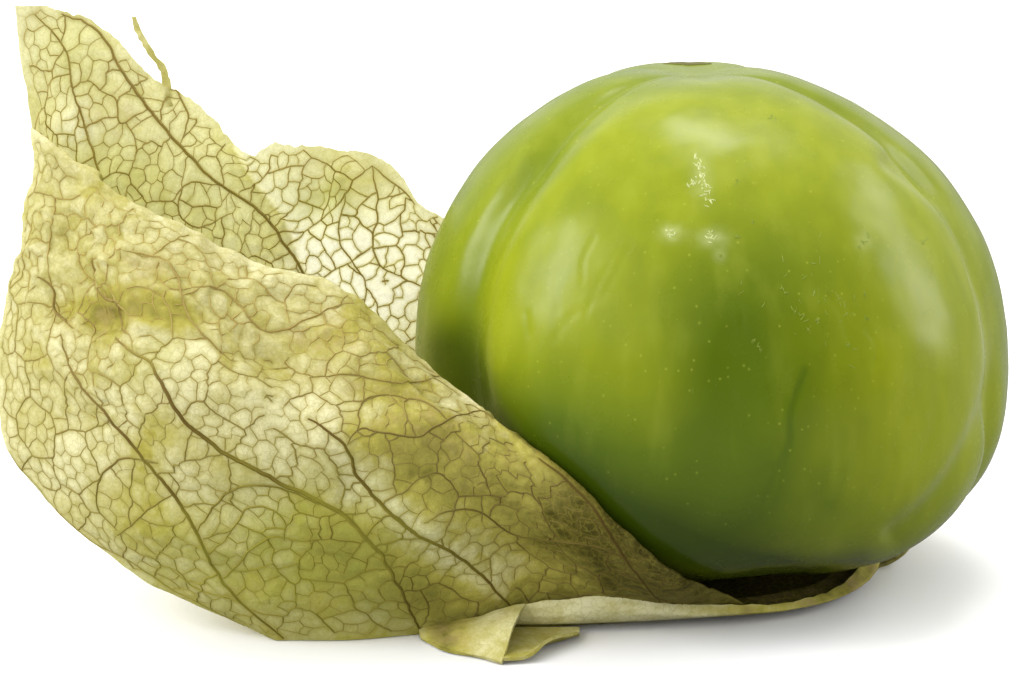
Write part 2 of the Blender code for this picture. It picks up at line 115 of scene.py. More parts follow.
# Creases in the berry's skin, as seen: depth, half width, points. A crease of less than no depth is a ridge
BERRY_CREASES = (
    (0.65, 1.5, ((-0.9, 40.7), (-5, 39.4), (-8.5, 37.8), (-13, 33.7), (-16.1, 29.7), (-18.1, 26.1),
        (-19.3, 21.6), (-19.7, 17.6), (-19, 14), (-17.8, 11.3))),
    (-0.12, 1, ((-2, 39.6), (-6.6, 37), (-11.2, 32.9), (-14.4, 28.9), (-16.4, 25.4), (-17.5, 21.2),
        (-17.8, 17.2), (-17, 13.6))),
    (0.55, 0.9, ((14.5, 33), (20.6, 28.2), (22.8, 22.6), (23.3, 18.5), (22.5, 14), (20.6, 9.5), (17.8, 5.5),
        (14.8, 2.9))),
    (0.09, 0.22, LOW_CREASE),
    (0.35, 3, ((2.5, 18), (1.5, 13), (0, 8), (-1.5, 4.5))),
    (0.07, 0.35, ((15.6, 12.5), (14.6, 9), (12.6, 4.8))),
    (0.06, 0.3, ((10.8, 10.8), (9.8, 8.2), (8.6, 5.4))),
    (0.07, 0.4, ((18.6, 15), (17.6, 10.6), (15.4, 6.3))),
    (0.035, 0.26, ((-6.5, 26.4), (-7.6, 24.2), (-8.7, 22.2), (-11.3, 20.4), (-12.8, 18.4))),
    (0.04, 0.24, ((-9.4, 26.9), (-10.3, 25), (-10.4, 23.3))),
    (0.05, 0.24, ((-14.9, 20.7), (-14.7, 19))),
    (0.035, 0.24, ((-8.2, 24.6), (-9.6, 22), (-10.2, 20.2))),
    (0.035, 0.24, ((-12, 25.2), (-12.6, 22.8), (-12.4, 20.8))),
    (0.05, 0.25, ((-3.6, 20.4), (-3.2, 18.8), (-2.2, 17.6))),
    (0.06, 0.25, ((9.5, 22), (10.6, 20.4), (10.9, 18.8))),
    (0.05, 0.25, ((1.4, 22.6), (2.4, 21), (2.6, 19.6))),
    (0.06, 0.25, ((12.6, 19.4), (13.4, 17.8), (13.2, 16.4))),
)
# Lighter and darker streaks down the skin, as seen: amount (more is deeper), half width, points. Some are the
# skin's own streaks; the deeper ones along the low crease and the left furrow are painted shade in those
# hollows, and the lighter one beside the left furrow is a painted highlight on its ridge
BERRY_STREAKS_AND_PAINTED_LIGHT = (
    (0.25, 0.28, LOW_CREASE),
    (0.15, 2.5, ((1.6, 17.5), (0.6, 13.5), (-0.4, 8.5), (-1.6, 5))),
    (-0.05, 2.2, ((-5.6, 18.5), (-5, 13.5), (-4.2, 8.5), (-3, 5))),
    (-0.15, 1.2, ((10.5, 16.5), (9.2, 11.5), (7.4, 7), (6, 4.5))),
    (-0.2, 1.6, ((14.2, 18), (13.2, 12), (11, 7))),
    (-0.25, 2.4, ((18.6, 22), (18.2, 16), (16.6, 10), (14, 6))),
    (0.12, 0.6, ((12.2, 12), (11.2, 8.6), (9.6, 5.2))),
    (0.2, 1, ((-0.9, 40.7), (-8.5, 37.8), (-13, 33.7), (-16.1, 29.7), (-18.1, 26.1), (-19.3, 21.6),
        (-19.7, 17.6), (-18.4, 12))),
    (-0.45, 0.9, ((-6.2, 36.6), (-10.8, 32.5), (-14, 28.5), (-16, 25), (-17.1, 20.8), (-17.4, 16.9))),
)
# Patches of rough cork on the skin, as seen: how far it spreads, flakes, flake radius, points
CORK_PATCHES = (
    (0.22, 40, 0.05, ((-1.4, 33.4), (-1, 32.6), (-0.6, 31.6), (0, 29.8))),
    (0.16, 12, 0.045, ((-1.9, 31), (-1, 31.7))),
    (0.2, 9, 0.045, ((-3.4, 27.3), (-3.1, 27))),
    (0.22, 11, 0.045, ((-0.2, 27), (0.3, 26.5))),
    (0.16, 6, 0.045, ((0.6, 25.6), (0.8, 25.2))),
    (0.1, 10, 0.04, ((12.7, 27), (12.3, 26.5), (11.9, 26))),
    (0.12, 5, 0.035, ((4.6, 36.9), (5.1, 36.4))),
    (0.06, 4, 0.035, ((2.1, 31.5), (2.2, 31.2))),
    (0.05, 4, 0.035, ((3.3, 28.3), (3.4, 28))),
    (0.05, 4, 0.035, ((2, 27), (2.2, 26.8))),
    (0.1, 5, 0.035, ((17.2, 26.6), (17.3, 26.1))),
    (0.05, 4, 0.035, ((8.1, 24.9), (8.3, 24.7))),
    (0.05, 4, 0.035, ((8.3, 22.4), (8.2, 22.1))),
    (0.05, 4, 0.035, ((12.3, 22.5), (12.4, 22.2))),
    (0.06, 4, 0.035, ((8.5, 20.2), (8.6, 19.9))),
    (0.05, 4, 0.035, ((12.5, 20.5), (12.6, 20.2))),
    (0.04, 9, 0.03, ((3.3, 18.6), (3.9, 18.1), (4.1, 17.7))),
    (0.04, 8, 0.03, ((6.8, 21), (7.5, 20.2), (7.9, 19.2))),
    (0.04, 7, 0.03, ((9.8, 22.6), (10.3, 21.8), (10.4, 21.2))),
    (0.04, 6, 0.03, ((5.6, 22.8), (6.1, 22.3))),
    (0.04, 6, 0.03, ((10.9, 18.2), (11.6, 17.8))),
)
# The first of these patches are bright
BRIGHT_PATCHES = 4
# A flake's girth as a share of its radius, its length, and its girth at five places from end to end
FLAKE_GIRTH = (0.6, 1.3)
FLAKE_LENGTH = (0.15, 0.55)
FLAKE_TAPER = (0.3, 0.9, 1, 0.8, 0.2)
# Pale blotches in the skin round them, as seen: across, up, half width, half height, amount
BERRY_PALES = (
    (-3.2, 27.2, 0.9, 0.6, 0.55),
    (0.1, 26.8, 1.2, 0.7, 0.45),
    (0.7, 25.4, 0.5, 0.5, 0.35),
    (-0.8, 31.6, 0.8, 1.8, 0.3),
    (12.3, 26.5, 0.7, 0.7, 0.35),
)
# A part of the skin with many small scratches: middle across and up, half width and half height, how many
SCRATCHED = (8.5, 21.5, 5.5, 4.5, 34)
# A scratch's half thickness, length and turn
SCRATCH_GIRTH = (0.015, 0.03)
SCRATCH_LENGTH = (0.2, 0.8)
SCRATCH_TURN = (0.6, 2.6)
# What is left of the flower on the berry's top, as seen: half length, across, up; and its half thickness
FLOWER_SCAR = (2, -1.9, 41)
SCAR_GIRTH = 0.22

# The husk, as in its CAD source: its thickness, the middle of its floor, and the waves in its paper
SHEET = 0.7
CORE = (-12, -3, 0)
CORE_SHARE = 0.35
CRINKLE = 0.35
CRINKLE_WAVES = 9
CRINKLE_PITCH = 0.42
# How high above the floor the roughness has its full height
FADE_HEIGHT = 4.0
# The seed of every random draw
SEED = 7
# Lines up the walls, from a foot on the floor to the edge, in the order of the walls
CREASE = ((-35, -18, 0), (-46, -15.5, 5), (-56, -10, 13.5), (-56, -6, 25), (-54, -4, 37.5))
FRONT_LINES = (
    CREASE,
    ((-34.5, -18.5, 0), (-43, -18.5, 6.5), (-51, -14.5, 15), (-54, -9.5, 25), (-52.5, -6, 36.5)),
    ((-33.5, -18.5, 0), (-38.5, -20.5, 7), (-44.5, -19, 16), (-50.5, -13.5, 23), (-50, -7.5, 35)),
    ((-29, -18.5, 0), (-32.5, -21, 7.5), (-40.5, -21, 14.5), (-48, -16, 23), (-48.5, -8.5, 34.5)),
    ((-23, -17, 0), (-26, -21, 7.5), (-33, -22, 14), (-44, -19, 22.5), (-47, -9, 33.5)),
    ((-20.5, -16.5, 0), (-22.5, -20, 6), (-29, -22, 13), (-38.5, -20, 22), (-41, -11, 31)),
    ((-16, -15.5, 0), (-18.5, -18.5, 5.5), (-25.5, -21.5, 12), (-32, -20.5, 19), (-35.5, -12, 28.5)),
    ((-13, -15.2, 0), (-15.8, -17.6, 5.4), (-20.8, -21.6, 13.8), (-25.4, -19.6, 20.8), (-29, -13, 26.5)),
    ((-10.8, -14.8, 0), (-12.4, -17, 4.4), (-16.2, -21.2, 12), (-20.4, -20, 17.8), (-23.5, -14.4, 22)),
    ((-8.2, -14.4, 0), (-9.8, -17.4, 3.8), (-12.3, -21.3, 9.3), (-14.7, -21.4, 14), (-17, -18.6, 17.5)),
    ((-5.6, -13.8, 0), (-6.6, -16.9, 2.8), (-8, -20.8, 6.3), (-9.5, -22.6, 10), (-10.8, -22.8, 13.2)),
    ((-2.6, -12.8, 0), (-3.1, -15.8, 1.9), (-4, -18.9, 4), (-4.7, -21.2, 6), (-5.4, -22.6, 8)),
    ((0.2, -11.8, 0), (-0.1, -13.8, 1), (-0.5, -15.9, 2.2), (-0.9, -17.7, 3.4), (-1.4, -19.2, 4.8)),
    ((3.2, -10.6, 0), (3.1, -11.6, 0.2), (2.9, -12.6, 0.5), (2.6, -13.6, 0.9), (2.2, -14.5, 1.4)),
)
BACK_TOP = (-55.4, 0, 46.6)
BACK_LINES = (
    CREASE + (BACK_TOP,),
    ((-34.5, -13, 0), (-45.5, -8.5, 5.3), (-53, -3.5, 14.5), (-53, -0.5, 26), (-52, 1.5, 38.5),
        (-52, 2, 46)),
    ((-32, -6, 0), (-41.5, -2.5, 6), (-47.5, 2, 15), (-48, 3.5, 27), (-48.5, 4.5, 37), (-48.8, 4, 44)),
    ((-29, -1, 0), (-37, 3, 6.5), (-42, 6.5, 15), (-43.5, 7.5, 25.5), (-44.4, 7.5, 34), (-44.7, 7, 39)),
    ((-26, 2.5, 0), (-33, 7, 7), (-37.5, 10, 15), (-39.5, 10.5, 24.5), (-41, 10, 32), (-41.3, 9, 36.6)),
    ((-23, 5.5, 0), (-29.5, 10.5, 7), (-34, 13, 14.5), (-36.5, 13.3, 22.5), (-37.9, 12.8, 28.5),
        (-38.2, 12, 32.2)),
    ((-20, 8, 0), (-26, 13.5, 7), (-30.5, 15.8, 14), (-33, 15.8, 21.5), (-34.2, 15.5, 28), (-34.7, 15, 32)),
    ((-16.5, 10, 0), (-22, 16, 6.5), (-26.5, 18.5, 13.5), (-29, 18.3, 20.5), (-30.4, 17.8, 27),
        (-30.9, 17, 31)),
    ((-13, 11.2, 0), (-18, 18, 6.3), (-22, 20.5, 13), (-24.5, 20, 19.8), (-25.8, 19.3, 25.7),
        (-26.3, 18.5, 29.5)),
    ((-9.5, 12, 0), (-14.5, 19, 6), (-18.3, 22, 11.8), (-21, 21.8, 17.5), (-22.6, 20.8, 22.3),
        (-23.4, 20, 25.3)),
    ((-5.5, 12.8, 0), (-9.5, 20.4, 5.3), (-11.8, 24, 10.3), (-14, 24.6, 15.5), (-15.5, 24.2, 19.8),
        (-16.5, 23.6, 22.7)),
    ((-1.8, 13.2, 0), (-4.5, 20.2, 4.5), (-6, 24.4, 9.1), (-7.2, 25.9, 13.6), (-7.7, 26, 17.3),
        (-8, 25.8, 20)),
    ((2.4, 13.2, 0), (1.7, 19.6, 3.6), (1.2, 23.9, 7.5), (1, 25.6, 11.5), (1, 26.1, 14.7), (1, 26.3, 17)),
    ((6.9, 11.8, 0), (7.5, 17.4, 2.8), (7.9, 21.4, 6), (8.2, 23.5, 9.3), (8.4, 24.2, 12), (8.5, 24.6, 14)),
    ((10.3, 9.2, 0), (11.8, 13.8, 1.9), (13.1, 17.2, 4.3), (13.9, 19.2, 7), (14.2, 20, 9.3),
        (14.5, 20.6, 11)),
    ((12.4, 6.3, 0), (14.4, 9.5, 1), (16, 12.2, 2.8), (17.2, 13.9, 4.9), (18, 14.7, 6.9),
        (18.6, 15.4, 8.5)),
    ((13.4, 3.4, 0), (15, 4.6, 0.3), (16.6, 5.6, 1.3), (17.8, 6.4, 2.7), (18.5, 6.9, 4.2),
        (19.3, 7.3, 5.4)),
    ((13, -0.6, 0), (14.4, -0.3, 0.2), (15.6, 0, 0.8), (16.4, 0.3, 1.5), (17, 0.6, 2.3), (17.4, 0.8, 3.1)),
)
# The feet of the husk's floor between the two walls' ends
FLOOR_FEET = ((7.2, -10.2, 0), (9.9, -8.2, 0), (11.8, -5.6, 0), (12.6, -3, 0))
# Folds pressed in: start, end, half width, shift
FOLDS = (
    ((-57, -5, 35), (-57, -5, 30.5), 3, (1.6, 0, 0)),
    ((-50.3, -10.4, 30), (-47.5, -15, 24.5), 1.6, (0.3, 1.2, 0.3)),
    ((-35, -19, 22), (-24, -20, 21), 2.2, (0, 0.7, -0.5)),
    ((-30, -21.5, 17.5), (-24, -21, 17), 2, (0, -0.6, 0)),
)
# The saucer's rim from left to right: x and y of its foot, height, lean inward
RIM_STATIONS = (
    (-23.5, -17, 0.5, 0),
    (-20, -17.6, 1.1, 0),
    (-17.5, -17.8, 1.9, 0),
    (-15, -17.9, 2.6, 0.1),
    (-12, -17.8, 2.9, 0.2),
    (-9, -17.6, 3.1, 0.2),
    (-6.5, -17.4, 3, 0.2),
    (-4, -17.1, 2.5, 0.2),
    (-1.5, -16.7, 2, 0.2),
    (1.5, -16.1, 1.8, 0.2),
    (4.8, -15.1, 1.5, 0.3),
    (8, -13.4, 1.4, 0.5),
    (10.5, -11.4, 1.5, 0.8),
    (12.3, -9.1, 1.8, 0.9),
    (13.6, -6.3, 2.1, 1),
    (14.5, -2.6, 2.1, 0.8),
    (14.9, 1, 2, 0.5),
)
# How far the saucer's floor reaches in and rises there, and how far its bend is from its knee
RIM_FLOOR = 4.0
RIM_FLOOR_RISE = 0.3
RIM_BEND = 0.8
# The folded corner, and the lip under it: lines from the rim outward
CORNER_LINES = (
    ((-23.3, -17.2, 0.3), (-23.2, -17.8, 0.2), (-23.1, -18.6, 0)),
    ((-20, -17.7, 1.1), (-20.3, -19.6, 1), (-20.9, -21.7, 0)),
    ((-17.5, -17.9, 1.9), (-18.3, -20.3, 1.5), (-19.1, -22.6, 0)),
    ((-15, -18, 2.6), (-15.8, -20.9, 2), (-16.8, -24.4, 0)),
)
LIP_LINES = (
    ((-18, -17, 0), (-17.3, -20.8, 0), (-16.7, -24.3, 0)),
    ((-15, -16.8, 0), (-14.7, -20, 0), (-14.6, -23.8, 0.4)),
    ((-13, -16.8, 0), (-13.1, -19.2, 0), (-13.4, -21.9, 0.9)),
    ((-10.8, -16.8, 0), (-10.8, -17.8, 0), (-10.9, -18.9, 0.6)),
)
# The torn strip: its middle line, its half widths there, how much of them is left, how it follows its foot
STRIP_LINE = ((-44.2, 8.1, 37), (-44.5, 7.7, 40), (-45.5, 7.5, 41.6), (-46.1, 7.5, 42.7), (-46.6, 7.5, 44.2))
STRIP_HALF_WIDTHS = (0.5, 0.5, 0.45, 0.4, 0.3)
STRIP_SHARE = 0.65
STRIP_FOLLOW = 0.5
# The way across the strip, its thickness, and how finely it is made
STRIP_SIDE = (1, 0.15, 0)
STRIP_SHEET = 0.1
STRIP_STEPS = 14
STRIP_ACROSS = 7
# Where the rim leans toward, and how high its knee is
RIM_CENTRE = (-1, -2)
RIM_KNEE_SHARE = 0.4
# The thickness of the small sheets here
SMALL_SHEET = 0.25
# The step of a vein's route, and the sharpest edge that is shaded smooth
ROUTE_STEP = 0.3
SHARP_EDGE = math.radians(60.0)

# How finely the walls and the floor between them are made here
FLOOR_STEPS = 8
FLOOR_ROWS = 4
FLOOR_SKIP = 8
FRONT_STEPS = (48, 56, 60, 60)
BACK_STEPS = (38, 46, 50, 50, 44)
FRONT_ACROSS = 27
BACK_ACROSS = 20

# Where the paper is dry and crumpled, as seen: across, up, half width, half height, amount
DRY_PLACES = (
    (-51, 27, 6, 7, 1),
    (-42, 23, 8, 4.5, 0.9),
    (-33, 19, 7, 4, 0.7),
    (-23, 15, 5, 3, 0.5),
    (-50, 16, 5, 4, 0.5),
)
DRY_ELSEWHERE = 0.25
# Which way the crumples run, how fine creases are turned along them, and each size: pitch, height, squeeze
CRUMPLE_RUN = (0.87, -0.31, -0.38)
CREASE_TURN = (0, -0.41, 0.34)
CRUMPLES = ((3, 0.55, 0.3), (1.5, 0.3, 0.36), (0.8, 0.1, 0.45))
# Dents seen in the front wall: across, up, half width, half height, depth
FRONT_DENTS = (
    (-52.3, 21.6, 2.3, 1.7, 1.3),
    (-48.2, 20.2, 1.5, 1.9, 1.2),
    (-47.5, 25.5, 2.6, 1.2, -0.5),
    (-41, 20.5, 4, 1.4, 0.5),
    (-36, 15, 5, 1.6, -0.5),
    (-45.5, 2.5, 4, 3, -0.4),
    (-29, 6.5, 1.5, 4, 0.4),
)
# Dents seen in the back wall
BACK_DENTS = (
    (-50, 31, 2.5, 2.5, -0.6),
    (-32, 30, 1.2, 2.5, 0.7),
    (-29.5, 31, 1, 2, -0.7),
)
# Where the tall lobe overlaps the wall beside it: how far, over what width, and the edge as seen
OVERLAP = (0.55, 0.35, ((-38.6, 34), (-37.2, 31.6), (-34.8, 28.6), (-33.2, 24.8), (-31.4, 21), (-30, 18)))
# How uneven the torn edge, the berry's skin and the rim's edge are: height, pitch, seed
TEARS = ((0.45, 2.6, 3), (0.3, 0.9, 8), (0.12, 0.35, 5))
BERRY_UNEVEN = ((0.12, 7, 2), (0.05, 2.5, 9))
RIM_UNEVEN = ((0.1, 1, 3), (0.05, 0.4, 7))
# How many rows of the grid a tear reaches
TORN_ROWS = 16

# The veins, as seen: half thickness, how far their crest stands up, points
FRONT_VEINS = (
    (0.15, 0.3, ((-52.2, 19), (-51.1, 15.4), (-49.5, 13.7), (-45.1, 8.4), (-42.9, 5.6), (-39, -1.2),
        (-34.5, -5.5))),
    (0.17, 0.6, ((-47.6, 18.4), (-45.1, 16.6), (-42.9, 12.9), (-39.4, 9.8), (-35.6, 7.7), (-30.9, 5.3),
        (-27.5, 2.4), (-25.6, -0.5), (-23.5, -4.8))),
    (0.14, 0, ((-49.9, 25.2), (-49.4, 22.6), (-48.6, 21.9), (-47.9, 21.8), (-47.5, 20), (-47, 19))),
    (0.12, 0, ((-54.3, 23.6), (-53.2, 23), (-52.9, 20.7), (-52, 20), (-51.4, 19.4))),
    (0.14, 0.4, ((-32.4, 12.1), (-29.5, 10.2), (-28.2, 7.4), (-25.1, 4), (-20.7, 1.5), (-15.8, -3.1))),
    (0.13, 0.25, ((-13.8, 9.6), (-11.8, 7.6), (-9.8, 5.6), (-7.3, 1.8), (-5.7, -0.4), (-4.1, -2.4))),
    (0.09, 0.15, ((-23.1, 4), (-21.5, 4.8), (-18.6, 4.8), (-16.4, 3.2), (-12.2, 2.4), (-8.2, 1.8),
        (-5.9, 0.6))),
    (0.09, 0, ((-32.4, 15.5), (-29.1, 15.8), (-26.3, 15.2), (-23.1, 15.3), (-21.9, 15.7))),
    (0.09, 0, ((-29.3, 10.2), (-28.6, 11.3), (-26.3, 11.1), (-23.6, 10.7), (-21.3, 12.1), (-17, 13.1))),
    (0.09, 0, ((-28.6, 11.3), (-28.2, 13.6), (-24.6, 13.9), (-22.4, 13.2), (-21.3, 12.1))),
    (0.09, 0, ((-44.4, 8.6), (-47.3, 9.1), (-48.7, 8.1), (-49.5, 6.9), (-49.5, 5.2), (-47.9, 3.2))),
    (0.08, 0, ((-43.2, 6.3), (-45.3, 5), (-46.7, 3.6), (-47.9, 2.8))),
    (0.1, 0, ((-41.4, 3.2), (-39.2, 6.2), (-37.2, 6.9), (-35.2, 6.9), (-31.6, 5.4))),
    (0.09, 0, ((-39.2, -0.6), (-37.2, 1.6), (-35.2, 2.7), (-33.2, 2.4), (-30.7, 2.6))),
    (0.08, 0, ((-41, 2.6), (-38.4, 3.5), (-37.6, 4.8), (-36.2, 5.2), (-34.6, 4.4), (-34.4, 2.4))),
    (0.08, 0, ((-38.5, -1.9), (-40, -2), (-41.2, -1.6), (-42.9, -0.4))),
    (0.1, 0, ((-47, 25.7), (-44.5, 25.2), (-43, 23.8), (-42.7, 21.8), (-42, 20.2), (-38.8, 16.9))),
    (0.1, 0, ((-42.7, 22.6), (-40, 22.8), (-38, 21.4), (-36.3, 19.4), (-32.4, 20.3), (-29.9, 21.4))),
    (0.09, 0, ((-29, 1.2), (-27.4, 3.4), (-25.6, 4.6), (-24.2, 3.2))),
    (0.07, 0, ((-56.6, 9.4), (-55.2, 7), (-53.1, 4.7), (-49.9, 2.3), (-46.7, 0.6), (-43.9, -1.3),
        (-41, -2.8), (-37.8, -4.5))),
)
BACK_VEINS = (
    (0.1, 0, ((-54.6, 44.9), (-53.2, 43.6), (-51.9, 41.6), (-51.6, 39.1), (-50.6, 36.3), (-49.1, 31.3),
        (-46.5, 27))),
    (0.14, 0, ((-52.4, 44.9), (-49.7, 43.7), (-47.3, 39.9), (-42.9, 34.3), (-40.3, 31.6), (-36.7, 29.2),
        (-32.8, 23.8), (-30, 19.5))),
    (0.08, 0, ((-45.3, 37.3), (-47.9, 36), (-47.9, 37.9), (-49.3, 38.7))),
    (0.08, 0, ((-42.9, 34.3), (-42.2, 36.3), (-43.5, 39.5))),
    (0.08, 0, ((-39.4, 31), (-42.4, 31.1), (-42.9, 28.6), (-42, 27.8), (-38.6, 28.8))),
    (0.08, 0, ((-27.4, 32.7), (-29, 31.1), (-30.1, 29.5), (-31.7, 28.1), (-32.8, 27.3))),
    (0.08, 0, ((-29.5, 30.2), (-29.9, 28.6), (-30.1, 27), (-29, 24.9), (-27.7, 22.6), (-28.3, 21))),
    (0.07, 0, ((-27.4, 32.7), (-26.1, 31.5), (-24.9, 30.7), (-23.9, 29.5))),
    (0.07, 0, ((-29, 24.9), (-30.3, 24.2), (-31.7, 23.2))),
    (0.08, 0, ((-27.4, 32.7), (-27.1, 30.7), (-26.9, 28.6), (-27.4, 26.2), (-26.3, 24.2), (-25, 23.7))),
    (0.07, 0, ((-27.4, 26.2), (-28.3, 25.4), (-29, 24.9))),
)
# Ribs that the camera doesn't see: the back wall's lines that they run up, and their half thickness and crest
HIDDEN_RIBS = (10, 12, 14)
HIDDEN_RIB = (0.15, 0.35)
# How wide a rib's crest is, and how far a rib wanders in steps of the grid
CREST_WIDTH = 1.3
WOBBLE = 0.9

# How wide the net's small, middle and large meshes are, and half the thickness of their sides
SMALL_MESH = 1.15
MIDDLE_MESH = 2.1
LARGE_MESH = 3.6
SMALL_VEIN = 0.030
MIDDLE_VEIN = 0.044
LARGE_VEIN = 0.066
# How close its cells may lie, how many places are tried for each cell, and how far its neighbours may be
CELL_GAP = 0.86
CELL_TRIES = 9
CELL_REACH = 2.6
# How unevenly the large meshes end, how many small sides are left out, and how uneven the sides are
MESH_BLUR = 0.15
OPEN_SHARE = 0.15
UNEVEN = (0.8, 1.25)
# How near to a rib a corner of the net joins it, and how far its sides bend
SNAP = 0.6
BEND = 0.12
# How the paper is puffed between all veins, and between the stouter ones: height, half width
PUFF_SMALL = (0.03, 0.35)
PUFF_LARGE = (0.13, 1)
# The darker paper beside a stout vein: half thickness that darkens fully, half width
HALO_FULL = 0.13
HALO_WIDTH = 0.4
# How much thicker than a small vein a vein with the full colour is
THICK_SPAN = 0.09
# How the tones of single cells and of large meshes spread, and their limits
CELL_TONE = 0.05
MESH_TONE = 0.07
TONE_LIMITS = (-0.13, 0.16)
# The front wall's rolled edge: its radius at shares of its length, and its turns in degrees
ROLL = (0.1, 0.6, 0.65, 0.3, 0.08)
ROLL_PLACES = (0, 0.12, 0.5, 0.75, 1)
ROLL_TURNS = range(20, 201, 20)

# Colour masks at places seen: across, up, half width, half height, amount
FRONT_TONES = (
    (-23.5, 11.4, 4.5, 1.9, 0.3),
    (-22, 7.5, 4, 2, 0.3),
    (-16.6, 5.7, 3.5, 2.2, 0.3),
    (-9, 3.4, 4.5, 2.2, 0.5),
    (-5, 0.4, 4.5, 2, 0.5),
    (-31.2, 3, 2.4, 1.8, 0.3),
    (-28, 10.2, 2.6, 1.6, 0.22),
    (-49.3, 21.1, 2.2, 1.4, 0.2),
    (-42, 20.2, 2.2, 1.4, 0.3),
    (-45.7, 10.5, 2, 1.6, 0.2),
    (-29.5, 0.5, 3, 3, 0.2),
    (-23.9, -1.6, 2.2, 2, 0.4),
    (-50, 20.5, 2.6, 2.2, 0.28),
    (-45.7, 21.1, 3.2, 1.9, 0.45),
    (-46, 9.5, 2.6, 3.4, 0.24),
    (-45, 4.6, 3, 2.2, 0.18),
    (-38, 8, 3, 1.6, 0.15),
    (-38.4, 13.6, 3.4, 2, -0.16),
    (-34.5, 13, 4, 2, -0.14),
    (-31.5, 15.5, 3, 2, -0.14),
    (-20.5, 13.4, 4, 1.4, -0.25),
    (-16.6, 0.3, 4, 1.4, -0.35),
    (-27.5, -4, 3.4, 1.5, -0.25),
    (-34.8, -3.4, 3, 2.5, -0.15),
    (-23.9, 3.1, 2.5, 1.5, -0.18),
    (-52.5, 9, 3.5, 6, -0.12),
)
# Bands of tone along paths seen: amount, half width, points. The lighter bands beside the ribs are partly
# paler paper and partly a painted highlight on the ribs' crests
FRONT_BANDS = (
    (-0.4, 1.1, ((-46.2, 19), (-43.8, 17), (-41.6, 13.6), (-38.4, 10.9), (-34.8, 8.9), (-30.2, 6.6))),
    (-0.4, 1.2, ((-31.2, 10.5), (-28.7, 7.3), (-25.1, 4), (-21.1, 0.8), (-17, -2))),
    (-0.25, 0.8, ((-48.8, 14.4), (-44.4, 9.4), (-41.9, 6.2))),
    (0.45, 0.45, ((-16.6, 12.1), (-13, 8.9), (-9, 4.9), (-4.9, 1.2), (-0.9, -1.4))),
)
# Painted shade on the front wall, low down and beside the berry, given in the same way
FRONT_PAINTED_SHADES = (
    (0.5, 3, ((-12, 5.5), (-6, 1), (-2, -1))),
    (0.2, 2, ((-27, -3), (-23, -3.5))),
)
# Green and rusty places, as seen
FRONT_GREENS = (
    (-40, 0, 9, 6, 0.7),
    (-28, 0, 8, 6, 0.8),
    (-45.5, 17, 3, 2, 0.35),
    (-33, 4, 5, 3, 0.5),
)
FRONT_RUSTS = (
    (-32, 18.5, 3.5, 2.2, 0.8),
    (-23, 12.5, 5, 2.4, 0.7),
    (-39.5, 0, 2, 2.5, 0.5),
    (-17, 9, 5, 3, 0.4),
    (-29.5, 15, 3, 1.6, 0.5),
    (-49, 20.5, 3, 2.4, 0.8),
    (-46, 24.5, 3, 1.4, 0.5),
    (-41.5, 25.5, 2.6, 1.2, 0.5),
)
# The same masks on the back wall
BACK_TONES = (
    (-49, 31, 3, 2.6, 0.12),
    (-31, 30.2, 2.6, 1.6, 0.25),
    (-39, 26.5, 4, 2.5, 0.15),
    (-35, 25, 2, 3, 0.2),
    (-36, 31.5, 2.4, 2.4, -0.2),
    (-43, 35.5, 3, 4, -0.08),
    (-52.5, 34, 3, 3, 0.15),
    (-45.3, 28.6, 4, 2.4, 0.16),
    (-27.3, 31.6, 2.2, 1.3, 0.35),
)
BACK_BANDS = (
    (0.35, 0.22, ((-29.2, 32.6), (-31, 30.6), (-33.3, 29.3))),
    (0.35, 0.22, ((-29.4, 31.6), (-31.2, 29.9), (-33.2, 28.7))),
    (0.3, 0.22, ((-29.8, 30.6), (-31.4, 29.3), (-32.8, 28.3))),
    (0.2, 0.25, ((-38.4, 33.6), (-37, 31.4), (-34.8, 28.5), (-33.3, 24.8))),
)
BACK_GREENS = (
    (-49, 31.5, 3.5, 3.5, 0.9),
    (-31, 29.8, 3, 1.8, 1),
    (-41, 29, 6, 5, 0.45),
    (-52, 42, 3, 4, 0.4),
)
# Where the paper is nearly clear, as seen
BACK_CLEARS = (
    (-29.5, 24.5, 4.5, 4, 1),
    (-25, 24.5, 4, 5, 0.8),
    (-30.5, 20.5, 4, 3, 0.7),
    (-51.5, 35.8, 1.8, 1.8, 0.5),
)
BACK_RUSTS = (
    (-48.3, 36.3, 2.4, 1.8, 0.8),
    (-27.5, 31.6, 2.5, 1.3, 0.7),
    (-47, 27, 1.8, 1, 0.8),
    (-55.2, 45.2, 1.2, 1.6, 0.8),
)
# The small sheets' deeper, rustier places, as seen, and the lines along them. On the saucer's right end this
# is partly painted shade on the rim's outer face
SAUCER_TONES = ((10, -1, 7, 4, 0.65), (3, -3.5, 3, 1, 0.2))
CORNER_TONES = ((-21.5, -5.6, 1.8, 3, 0.55), (-13.5, -6.5, 1.6, 1.5, 0.4))
SHEET_LINES = 0.12
# How much painted shade the husk's floor has under the berry
FLOOR_PAINTED_SHADE = 0.75
# Where the berry's skin is a deeper green, as seen: partly its own colour, and partly painted shade low on
# its front and on its left lobe beside the husk
BERRY_DEEP_GREENS_AND_SHADE = (
    (5, 15.5, 9.5, 8.5, 0.72),
    (-3, 9, 9, 6, 0.5),
    (5, 5, 12, 4.5, 0.6),
    (-6, 4, 7, 5, 0.9),
    (-13.5, 11, 5, 6, 0.9),
    (-20.5, 17, 2.5, 6, 0.6),
    (-21, 26.5, 3, 6, 0.35),
    (-13, 32.5, 5, 4, 0.45),
    (4.5, 25, 6, 5, 0.5),
    (-1.5, 20, 5, 5, 0.35),
    (12, 25, 4, 3, 0.15),
)
